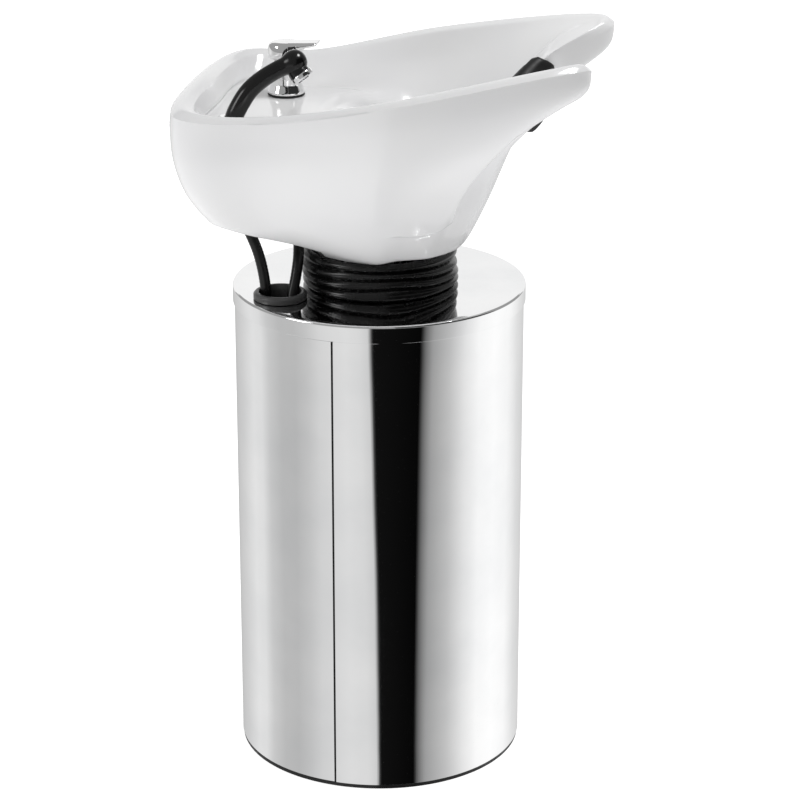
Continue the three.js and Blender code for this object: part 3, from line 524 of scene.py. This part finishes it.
def inner_surface(columns):
    """The bowl, with the tap ledge pressed flat."""
    rows = np.arange(0, len(INNER_LOOPS) - 0.99, ROW_STEP)
    stations = np.broadcast_to(columns, (len(rows), len(columns)))
    grid = surface(INNER_LOOPS, np.broadcast_to(rows[:, None], stations.shape), stations)
    flat = ((rows >= 2) & (rows <= 3))[:, None] & (grid[..., 0] < DECK_EDGE)
    grid[..., 2] = np.where(flat, np.minimum(grid[..., 2], DECK), grid[..., 2])
    return grid


def lip_surface(inner, outer, count=9):
    """Rows over the rounded lip, from the inner edge to the outer, ends left out."""
    t = np.linspace(0, 1, count + 2)[1:-1, None, None]
    rows = inner + (outer - inner) * t
    rows[..., 2] += LIP_CROWN * np.sin(np.pi * t[..., 0])
    return rows


def drain_row(columns, radius, z):
    turn = 2 * math.pi * columns / STATIONS
    height = np.full(len(columns), z)
    return np.stack([DRAIN_X + radius * np.cos(turn), radius * np.sin(turn), height], axis=1)


def offset_row(row, distance, x, dz=0.0):
    """A loop moved sideways towards (negative) or away from a centre on the X axis."""
    away = row[:, :2] - (x, 0)
    reach = np.linalg.norm(away, axis=1)[:, None]
    return np.column_stack([away * (1 + distance / reach) + (x, 0), row[:, 2] + dz])


def rod(name, radius, low, high, sides=48):
    """Cylinder between two points, for cutting."""
    return tube(name, np.linspace(low, high, 2), radius, GLAZE, sides)


def block(name, low, high):
    """Box between two corners, for cutting."""
    sides = [(low[0], low[1]), (high[0], low[1]), (high[0], high[1]), (low[0], high[1])]
    return closed_loft(name, [[(x, y, z) for x, y in sides] for z in (low[2], high[2])], GLAZE)


def pocket():
    """The hollow under the tap ledge, open at the bottom, between the skirt and the bowl."""
    columns = np.arange(0, STATIONS, 3 * COLUMN_STEP)
    skirt = [offset_row(loop_at(half, columns), -WALL, 0) for half in OUTER_LOOPS[:6]]
    mouth = skirt[5] * (1, 1, 0) + (0, 0, FOOT - 0.04)
    bowl = [offset_row(loop_at(half, columns), WALL + 0.004, DRAIN_X, -WALL) for half in INNER_LOOPS[2:]]
    bowl[0] = bowl[0] * (1, 1, 0) + (0, 0, DECK + 0.06)
    hollow = closed_loft("pocket", skirt + [mouth], GLAZE)
    reach = block("reach", (-0.3, -0.25, FOOT - 0.06), (POCKET_FRONT, 0.25, DECK_UNDER))
    combine(hollow, "INTERSECT", reach)
    return combine(hollow, "DIFFERENCE", closed_loft("bowl_side", bowl, GLAZE))


MIXER = Vector((-0.145, 0.080, DECK))
HANDSET = Vector((-0.180, -0.094, DECK))
LEAN, TURN = math.radians(12), math.radians(22)
HANDSET_AXIS = Vector((math.sin(LEAN) * math.cos(TURN), math.sin(LEAN) * math.sin(TURN), math.cos(LEAN)))
HANDSET_AHEAD = Vector((math.cos(TURN), math.sin(TURN), 0))


def basin():
    columns = basin_columns()
    inner, outer = inner_surface(columns), outer_surface(columns)
    lip = lip_surface(inner[0], outer[0])
    seat = DRAIN_TOP - 0.003      # recess that the drain's flange sits in
    drain = [drain_row(columns, DRAIN_HOLE + r, z) for r, z in
             ((0, FOOT), (0, seat), (0.011, seat), (0.0128, seat + 0.0025), (0.0145, seat + 0.0034))]
    rows = np.concatenate([drain, inner[::-1], lip, outer])
    body = closed_loft("basin_ceramic", rows, GLAZE, ends=False, sharp=50)
    reach = 0.05
    mixer_hole = rod("mixer_hole", 0.017, MIXER - Vector((0, 0, reach)), MIXER + Vector((0, 0, reach)))
    handset_hole = rod("handset_hole", 0.0175, HANDSET - HANDSET_AXIS * reach, HANDSET + HANDSET_AXIS * reach)
    combine(body, "DIFFERENCE", pocket(), mixer_hole, handset_hole)
    piece(smooth_shaded(body, 50), "basin_group", "ceramic", "basin")


PAD_INSIDE, PAD_OUTSIDE = 29, 19  # rows of the two surfaces that the saddle covers
PAD_REACH = 21                    # columns to each side of the notch's middle
PAD_THICK = 0.0101
PAD_EDGE = 0.0009
PAD_RIBS = 9


def neck_pad():
    """Rubber saddle over the notch: the lip's own surface moved out, with rounded edges."""
    columns = np.arange(0, STATIONS, COLUMN_STEP)
    inner, outer = inner_surface(columns), outer_surface(columns)
    lip = lip_surface(inner[0], outer[0])
    rows = np.concatenate([inner[PAD_INSIDE:0:-1], inner[:1], lip, outer[:PAD_OUTSIDE]])
    out = normals_of(rows)
    out *= np.sign(out[PAD_INSIDE + 4, 0, 2])
    wanted = np.arange(-PAD_REACH, PAD_REACH + 1)
    rows, out = rows[:, wanted], out[:, wanted]
    u = np.abs(np.linspace(-1, 1, rows.shape[0]))[:, None]
    v = np.abs(wanted / PAD_REACH)[None, :]
    fall = (1 - np.clip((u - 0.8) / 0.2, 0, 1) ** 2) * (1 - np.clip((v - 0.88) / 0.12, 0, 1) ** 4)
    ribs = 0.0005 * np.cos(np.linspace(0, 1, rows.shape[0]) * 2 * math.pi * PAD_RIBS)[:, None]
    thick = PAD_EDGE + (PAD_THICK + ribs) * np.sqrt(np.maximum(fall, 0))
    sections = []
    for k in range(rows.shape[1]):
        top = rows[:, k] + out[:, k] * thick[:, k][:, None]
        under = rows[:, k] + out[:, k] * 0.0004
        sections.append(np.concatenate([top, under[::-1]]))
    points = np.array(sections)
    count, columns = points.shape[:2]
    faces = grid_faces(count, columns)
    half = columns // 2
    for section in (0, count - 1):
        for j in range(half - 1):
            quad = [section * columns + k for k in (j, j + 1, columns - 2 - j, columns - 1 - j)]
            faces.append(tuple(quad if section == 0 else quad[::-1]))
    pad = facing_out(made_mesh("neck_pad", points.reshape(-1, 3), faces, RUBBER, 60))
    piece(pad, "basin_group", "rubber", "neck_rest")


basin()
neck_pad()

# ---- pedestal ------------------------------------------------------------------------------
CASING_R = 0.200
SHEET = 0.0012
LID_TOP = 0.682
BAND_R = 0.2023
CUP = (-0.118, -0.1005)
SEAM = 262.37                     # degrees, the fixed side of the door's seam
HINGE = 150
DOOR_FOOT, DOOR_TOP = 0.0066, 0.6573
DOOR_HEAD = 0.659                 # lower edge of the casing over the door


def casing():
    """Fixed sheet: a full ring with the doorway left out of its grid."""
    angles = np.concatenate([np.linspace(SEAM - 360, HINGE, 200), np.linspace(HINGE, SEAM, 92)[1:-1]])
    heights = (0.006, 0.0063, 0.2, 0.4, 0.6, DOOR_HEAD, 0.6802)
    count, levels = len(angles), len(heights)
    points = [(r * math.cos(math.radians(a)), r * math.sin(math.radians(a)), z)
              for r in (CASING_R, CASING_R - SHEET) for a in angles for z in heights]

    def present(i, j):
        return 0 <= j < levels - 1 and (angles[i % count] < HINGE or heights[j] >= DOOR_HEAD)

    def vertex(side, i, j):
        return (side * count + i % count) * levels + j

    faces = []
    for i in range(count):
        for j in range(levels - 1):
            if not present(i, j):
                continue
            corners = [(i, j), (i + 1, j), (i + 1, j + 1), (i, j + 1)]
            faces.append([vertex(0, *p) for p in corners])
            faces.append([vertex(1, *p) for p in reversed(corners)])
            for k, beside in enumerate([(i, j - 1), (i + 1, j), (i, j + 1), (i - 1, j)]):
                if not present(*beside):
                    p, q = corners[k], corners[(k + 1) % 4]
                    faces.append([vertex(0, *q), vertex(0, *p), vertex(1, *p), vertex(1, *q)])
    return made_mesh("casing", points, faces, MIRROR)


def lid():
    """Pan with a turned-down band, a slight dish, an opening under the basin and the cup's hole."""
    under, lower = LID_TOP - 0.0015, LID_TOP - 0.024
    bend, hole, inside, hem = 0.003, 0.096, CASING_R + 0.0009, 0.0004
    dish = [(0.190, LID_TOP - 0.0003), (0.170, LID_TOP - 0.0006), (0.135, LID_TOP - 0.0006), (hole, LID_TOP)]
    outline = [(BAND_R, lower + hem), (BAND_R, LID_TOP - bend),
               *arc(BAND_R - bend, LID_TOP - bend, bend, 0, 90, 7), *dish,
               (hole, under), (inside, under), (inside, lower), (BAND_R - hem, lower)]
    pan = turned("lid_pan", outline, MIRROR, steps=240)
    combine(pan, "DIFFERENCE", rod("cup_hole", 0.031, (*CUP, 0.6), (*CUP, 0.75), sides=96))
    return smooth_shaded(pan)


def bellows_skin():
    """Rubber skirt in uneven rolls, thinner than its folds are deep."""
    low, high, rolls = 0.6824, 0.7354, 4
    u = np.linspace(0, 1, 91)
    sections = []
    for a in np.linspace(0, 2 * math.pi, 220, endpoint=False):
        sway = 0.55 * math.sin(2 * a + 0.8) + 0.35 * math.sin(3 * a + 2.1) + 0.12 * math.sin(7 * a)
        lean = u + 0.035 * math.sin(a + 0.5) * np.sin(math.pi * u)
        roll = np.abs(np.sin(math.pi * rolls * lean + sway * np.sin(math.pi * u)))
        swell = 1 + 0.2 * np.sin(3 * a + 6 * u) + 0.1 * math.sin(5 * a + 1)
        r = 0.1005 + 0.0068 * swell * roll ** 0.65
        z = low + (high - low) * u
        section = [*zip(r, z), *zip(r[::-1] - 0.0026, z[::-1])]
        sections.append([(q * math.cos(a), q * math.sin(a), h) for q, h in section])
    skirt = closed_loft("bellows_skin", sections, BELLOWS_RUBBER, ends=False, sharp=70)
    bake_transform(skirt)
    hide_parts("bellows")


def pedestal():
    sheet_ease = 0.00025
    soften(piece(casing(), "pedestal", "mirror_steel", "casing_shell"), sheet_ease)
    inside = CASING_R - SHEET
    outline = [(inside, DOOR_FOOT), (CASING_R, DOOR_FOOT), (CASING_R, DOOR_TOP), (inside, DOOR_TOP)]
    door = turned("door_sheet", outline, MIRROR, steps=92, span=(HINGE + 0.45, SEAM - 0.74))
    soften(piece(door, "door", "mirror_steel", "access_door"), sheet_ease)
    piece(lid(), "pedestal", "mirror_steel", "top_cover")
    edge = outline_mm([(186.6, 0), (199, 0), (199, 5.7), (197.9, 5.7), (197.9, 22), (186.6, 22)])
    piece(turned("base_edge", edge, RUBBER, steps=200), "pedestal", "rubber", "base_ring")
    z = LID_TOP + 0.0003
    rim = eased([(0.0275, z - 0.046), (0.0304, z - 0.046), (0.0304, z), (0.0365, z), (0.0365, z + 0.007),
                 (0.0335, z + 0.010), (0.029, z + 0.010), (0.0275, z + 0.002)], 0.0012)
    piece(turned("guide_cup", rim, DARK_PLASTIC, CUP), "pedestal", "grey_plastic", "hose_guide")
    bellows_skin()


pedestal()

# ---- mixer -----------------------------------------------------------------------------------
TAP = DECK + 0.0008               # the mixer's gasket stands this high
PIVOT = 0.965                     # centre of the ball under the lever


def mixer():
    at = (MIXER.x, MIXER.y)
    gasket = eased([(0.0156, TAP), (0.0258, TAP), (0.0258, TAP + 0.002), (0.0156, TAP + 0.002)], 0.0006)
    piece(turned("mixer_seal", gasket, RUBBER, at), "basin_group", "rubber", "mixer_gasket")
    outline = [(0, -30), (15, -30), (15, 2.3), (25.5, 2.3), (25.5, 5.2), (23.6, 9.8), (21.4, 15.5),
               (20.2, 24), (20, 36.5), (18.6, 41.6), (16.5, 43), (0, 43)]
    body = eased([(r / 1000, TAP + z / 1000) for r, z in outline], 0.0016)
    piece(turned("mixer_column", body, CHROME, at), "basin_group", "chrome", "mixer_body")
    ball = [(0, TAP + 0.0433), (0.0168, TAP + 0.0433), *arc(0, PIVOT, 0.017, 0, 88, 16), (0, PIVOT + 0.017)]
    piece(turned("mixer_ball", ball, CHROME, at), "mixer_swivel", "chrome", "mixer_cartridge_cap")
    piece(lever(at), "lever", "chrome", "mixer_lever")


def lever(at):
    """Hood over the ball and a flat blade, in one piece."""
    socket = arc(0, PIVOT, 0.0176, 90, 24, 14)
    crown = [(23.5, 7.2), (24.8, 8.5), (25, 12), (24.6, 22), (23.5, 26.2), (20, 28.3), (12, 29), (0, 29.2)]
    hood = turned("lever_hood", socket + [(r / 1000, PIVOT + z / 1000) for r, z in crown], CHROME, at)
    sections, corners = [], 32
    turn = np.linspace(0, 2 * math.pi, corners, endpoint=False)
    across, up = (np.sign(w) * np.abs(w) ** power
                  for w, power in ((np.cos(turn), 0.45), (np.sin(turn), 0.6)))
    for ahead_mm, width, under, over in (
            (4, 30, 21.0, 29.2), (14, 33, 20.9, 29.6), (22, 34, 20.6, 30.0), (30, 34, 22.4, 30.4),
            (37, 33.6, 24.2, 30.8), (42.5, 32.6, 25.8, 30.9), (44.5, 31, 26.8, 30.6), (45.5, 28, 27.8, 29.9)):
        x = np.full(corners, at[0] + ahead_mm / 1000)
        y = at[1] + width / 2000 * across
        z = PIVOT + (under + over + (over - under) * up) / 2000
        sections.append(np.stack([x, y, z], axis=1))
    blade = closed_loft("lever_blade", sections, CHROME)
    return smooth_shaded(combine(hood, "UNION", blade))


mixer()


# ---- handset ---------------------------------------------------------------------------------
def handset_point(ahead_mm, up_mm):
    return HANDSET + HANDSET_AHEAD * (ahead_mm / 1000) + Vector((0, 0, up_mm / 1000))


def ring(radius, count, start=0.0, centre=(0, 0)):
    """Evenly spaced places round a circle."""
    turns = (start + 2 * math.pi * k / count for k in range(count))
    return [(centre[0] + radius * math.cos(a), centre[1] + radius * math.sin(a)) for a in turns]


def placed(made, origin, axis):
    """Moves a piece built upright at the origin to a point, standing along an axis."""
    turn = Vector((0, 0, 1)).rotation_difference(Vector(axis)).to_matrix().to_4x4()
    made.data.transform(Matrix.Translation(origin) @ turn)
    return made


def grip():
    """Slim at the tail, full in the hand, and rounded over the spray head."""
    spine = [HANDSET + HANDSET_AXIS * (d / 1000) for d in (-36, -14, 0, 16)]
    spine += [handset_point(*p) for p in ((21, 44), (42, 61.5), (64, 73.5), (84, 80.5), (100.3, 85.2))]
    path = smooth_path([tuple(p) for p in spine], 220)
    run = np.concatenate([[0], np.cumsum(np.linalg.norm(np.diff(path, axis=0), axis=1))])
    head = 0.017
    centre = run[-1] - head
    past = np.clip((run - centre) / head, 0, 0.9998)
    slim = np.interp(run, (0, 0.03, 0.07, centre - 0.03, centre), (0.0120, 0.0121, 0.0125, 0.0118, 0.0125))
    handle = slim * np.sqrt(1 - past ** 2)
    bulb = head * np.sqrt(np.clip(1 - ((run - centre) / head) ** 2, 0.0001, 1))
    radii = (handle ** 6 + bulb ** 6) ** (1 / 6)
    radii[0] -= 0.0012
    radii[1] -= 0.0004
    return tube("handset_grip", path, radii, BLACK_GLOSS, sides=56, sharp=70)


def spray_face():
    """Disc with rings of soft nozzles."""
    disc = turned("spray_disc", outline_mm([(0, 19), (11.7, 19), (11.7, 25.6), (0, 26.4)]), SPRAY_PLASTIC)
    outline = outline_mm([(0, 25), (0.95, 25), (0.75, 27.4), (0, 27.7)], 0.0003)
    nubs = [turned("nub", outline, SPRAY_PLASTIC, at, steps=12)
            for radius, count in ((0, 1), (0.0036, 6), (0.0072, 12)) for at in ring(radius, count)]
    return merged(disc, nubs)


def handset():
    """Grip and spray head, the bush they rest in, and the stub of hose that is pulled out with them."""
    piece(grip(), "handset", "black_gloss", "handset_body")
    nozzle = (handset_point(80, 80), (0.62, -0.1, -0.78))
    outline = outline_mm([(0, 6), (12.5, 6), (14.4, 18.2), (13, 19.4), (0, 19.4)])
    piece(placed(turned("spray_collar", outline, BLACK_GLOSS), *nozzle), "handset", "black_gloss")
    outline = outline_mm([(11.8, 18.8), (16, 18.8), (16.6, 20), (16.6, 25), (15.4, 26.6), (11.8, 26.8)])
    piece(placed(turned("spray_rim", outline, CHROME), *nozzle), "handset", "chrome", "spray_ring")
    piece(placed(spray_face(), *nozzle), "handset", "grey_plastic", "spray_face")
    along = (HANDSET, HANDSET_AXIS)
    outline = outline_mm([(0, -50), (9, -50), (9.3, -47), (10.1, -46.6), (10.1, -44.8), (9.5, -44.4),
                          (10.5, -40), (10.5, -36.6), (0, -36.6)], 0.0004)
    piece(placed(turned("ferrule", outline, CHROME), *along), "handset", "chrome", "hose_ferrule")
    outline = outline_mm([(13.4, -12), (18.2, -12), (18.2, 4.3), (22, 6.2), (21.6, 7.4), (20, 9),
                          (14.4, 9), (13.4, 8)], 0.0006)
    piece(placed(turned("bush", outline, CHROME), *along), "basin_group", "chrome", "deck_bush")
    stub = [HANDSET + HANDSET_AXIS * d for d in np.linspace(-0.080, -0.048, 24)]
    piece(tube("handset_tail", stub, 0.0073, HOSE_SKIN, sides=24), "handset", "rubber")


handset()


# ---- waste and supply --------------------------------------------------------------------------
def drain():
    """Flange in the bowl and the strainer that lifts out of it."""
    at = (DRAIN_X, 0)
    top = DRAIN_TOP * 1000 - 2.7
    outline = outline_mm([(18, 694), (21, 694), (21, top), (31, top), (31, top + 1.2), (24, top + 2),
                          (20, top + 0.6), (18, top - 1.4)], 0.0004)
    piece(turned("drain_flange", outline, CHROME, at), "basin_group", "chrome", "waste_flange")
    z = DRAIN_TOP * 1000 - 1.4
    outline = outline_mm([(0, z - 9), (14, z - 9), (17, z), (22, z + 2), (21.5, z + 4), (16, z + 2),
                          (13, z - 7), (3, z - 7), (3, z + 4), (5, z + 5), (5, z + 7), (0, z + 8)], 0.0007)
    cup = turned("strainer_cup", outline, CHROME, at)
    holes = [rod("hole", 0.0014, (*place, 0.75), (*place, 0.762), sides=12)
             for place in ring(0.0052, 6, 0, at) + ring(0.0092, 12, 0.26, at)]
    combine(cup, "DIFFERENCE", merged(holes[0], holes[1:]))
    piece(smooth_shaded(cup), "strainer", "chrome", "waste_strainer")


def pipes():
    """Corrugated waste pipe and the two supply tails."""
    route = [(42, 0, 692), (42, 0, 640), (45, 6, 560), (58, 36, 440), (62, 44, 370), (62, 44, 322)]
    steps = 300
    path = smooth_path(np.array(route) / 1000, steps)
    ribs = 0.0205 - 0.0014 * (0.5 + 0.5 * np.cos(np.arange(steps) * 2 * math.pi / 6)) ** 2
    soft_pipe("waste_pipe", path, ribs, WASTE_SKIN, "waste_hose")
    for name, side, upper in (
            ("hot", 1, [(-90, 60, 800), (-131, 80, 855), (-138.8, 88.5, 878), (-138.8, 88.5, 888.4)]),
            ("cold", -1, [(-92, -32, 790), (-130, -26, 828), (-160, 15, 848), (-166, 62, 858),
                          (-153, 86, 874), (-151.2, 88.5, 888.4)])):
        lower = [(-127, 38 * side, 436.4), (-125, 41 * side, 520), (-92, 49 * side, 610),
                 (-72, 51 * side, 660), (-72, 50 * side, 735)]
        path = smooth_path(np.array(lower + upper) / 1000, 260)
        soft_pipe(f"{name}_tail", path, 0.005, BRAID, f"{name}_supply_tail")


def soft_pipe(name, path, radii, material, node):
    """Pipe along a bent path between the pedestal and the basin, for a CAD node that it hides."""
    made = tube(name, path, radii, material, sides=32)
    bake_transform(made)
    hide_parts(node)


drain()
pipes()

# ---- CAD nodes that stay in sight: finishes and softened edges -------------------------------
FINISHES = {"steel": SATIN, "dark_steel": POWDER_COAT, "chrome": CHROME, "brass": BRASS, "rubber": RUBBER,
            "black_gloss": BLACK_GLOSS, "white_plastic": WHITE_PLASTIC, "red_plastic": RED_PLASTIC,
            "blue_plastic": BLUE_PLASTIC}
slots = {part["node"]: part["material_slot"] for part in frame["record"]["subparts"]}
for name, made in frame["nodes"].items():
    if not made.hide_render:      # replaced nodes are hidden
        made.material_slots[0].material = FINISHES[slots[name]]
        soften(made, 0.0004)

# ---- studio ------------------------------------------------------------------------------
# Tone that the polished casing mirrors at each angle from the camera's direction, in degrees
# to the right: the studio floor in front is laid with grey, black and white cards.
CARD_TONES = ((-90, 0.42), (-70, 0.62), (-60, 0.76), (-54, 0.74), (-49, 0.59), (-42, 0.50), (-35, 0.49),
              (-29, 0.56), (-24, 0.65), (-13, 0.72), (-7.5, 0.69), (-4.2, 0.62), (-2.7, 0.005), (16.5, 0.002),
              (18.5, 0.16), (21.5, 0.34), (29, 0.53), (36, 0.78), (43, 0.95), (52, 1.0), (62, 0.94),
              (72, 0.72), (90, 0.5))
CARD_REACH = np.array([*np.linspace(0, 3.2, 25), 6, 12])    # rows of the cards, out from the casing
CARD_GLOW = 1.15
BLACK_CARD = 7.8                  # angle of the black card's middle
WORLD_LIGHT = 0.36
FLOOR_GLOW = 0.76
SOFTBOXES = (                     # name, place, target, width, height and power
    ("key", (-2.2, -1.5, 1.9), (-0.1, 0, 0.85), 0.9, 1.2, 17),
    ("top", (0.7, 0.1, 2.5), (-0.15, 0, 0.95), 0.6, 0.45, 19))


def cards():
    """Cards on the floor, seen only in reflections: each point is where the casing mirrors it."""
    angles = np.linspace(-90, 90, 181)
    turn = CAMERA_AZIMUTH - math.pi / 2
    points = []
    for d in CARD_REACH:
        for a in np.radians(angles):
            points.append((CASING_R * math.cos(turn + a) + d * math.cos(turn + 2 * a),
                           CASING_R * math.sin(turn + a) + d * math.sin(turn + 2 * a), -0.004))
    paint = Paint("cards")
    made = made_mesh("cards", points, grid_faces(len(CARD_REACH), len(angles), around=False), paint.material)
    pinch = 0.5 * np.clip(1 - CARD_REACH / 1.9, 0, 1)[:, None]    # the black card narrows towards the casing
    from_card = angles[None, :] - BLACK_CARD
    angle_seen = angles + from_card * pinch * np.exp(-(from_card / 14) ** 2)
    stored = made.data.attributes.new("angle", "FLOAT", "POINT")
    stored.data.foreach_set("value", ((angle_seen + 90) / 180).astype(np.float32).ravel())
    angle = paint.node("ShaderNodeAttribute")
    angle.attribute_name = "angle"
    tones = [((degrees + 90) / 180, grey(value)) for degrees, value in CARD_TONES]
    paint.glow(CARD_GLOW, paint.stops(angle.outputs["Fac"], *tones))
    made.visible_camera = made.visible_diffuse = made.visible_shadow = made.visible_transmission = False


def panel(name, points, strength):
    """White emitting panel of the studio, out of the camera's sight."""
    made = made_mesh(name, points, [(0, 1, 2, 3)], Paint(name).glow(strength).material)
    made.visible_camera = False


def softbox(name, place, target, width, height, power):
    light = bpy.data.lights.new(name, "AREA")
    light.shape, light.size, light.size_y, light.energy = "RECTANGLE", width, height, power
    made = bpy.data.objects.new(name, light)
    bpy.context.scene.collection.objects.link(made)
    made.location = place
    made.rotation_euler = (Vector(target) - Vector(place)).to_track_quat("-Z", "Y").to_euler()


def studio():
    floor_paint = Paint("studio_floor", Roughness=0.9, Specular_IOR_Level=0.0, Emission_Strength=FLOOR_GLOW)
    floor_paint.shader.inputs["Emission Color"].default_value = (1, 1, 1, 1)
    floor_paint.colour(floor_paint.noise(3), grey(0.87), grey(0.9))
    corners = [(FLOOR_REACH * x, FLOOR_REACH * y, 0) for x, y in ((-1, -1), (1, -1), (1, 1), (-1, 1))]
    floor = made_mesh("floor", corners, [(0, 1, 2, 3)], floor_paint.material)
    floor.visible_glossy = False
    back = [ahead * 5.6 + aside * x + Vector((0, 0, z)) for x, z in ((-4, 0), (4, 0), (4, 3.2), (-4, 3.2))]
    panel("backdrop", back, 1.0)
    panel("flag", ((0.6, -1.5, 0.85), (1.8, 0.5, 0.85), (1.8, 0.5, 2.3), (0.6, -1.5, 2.3)), 0.03)
    world = bpy.data.worlds.new("studio")
    bpy.context.scene.world = world
    world.use_nodes = True
    background = world.node_tree.nodes["Background"]
    background.inputs["Color"].default_value = (1, 1, 1, 1)
    background.inputs["Strength"].default_value = WORLD_LIGHT
    for box in SOFTBOXES:
        softbox(*box)
    cards()


studio()
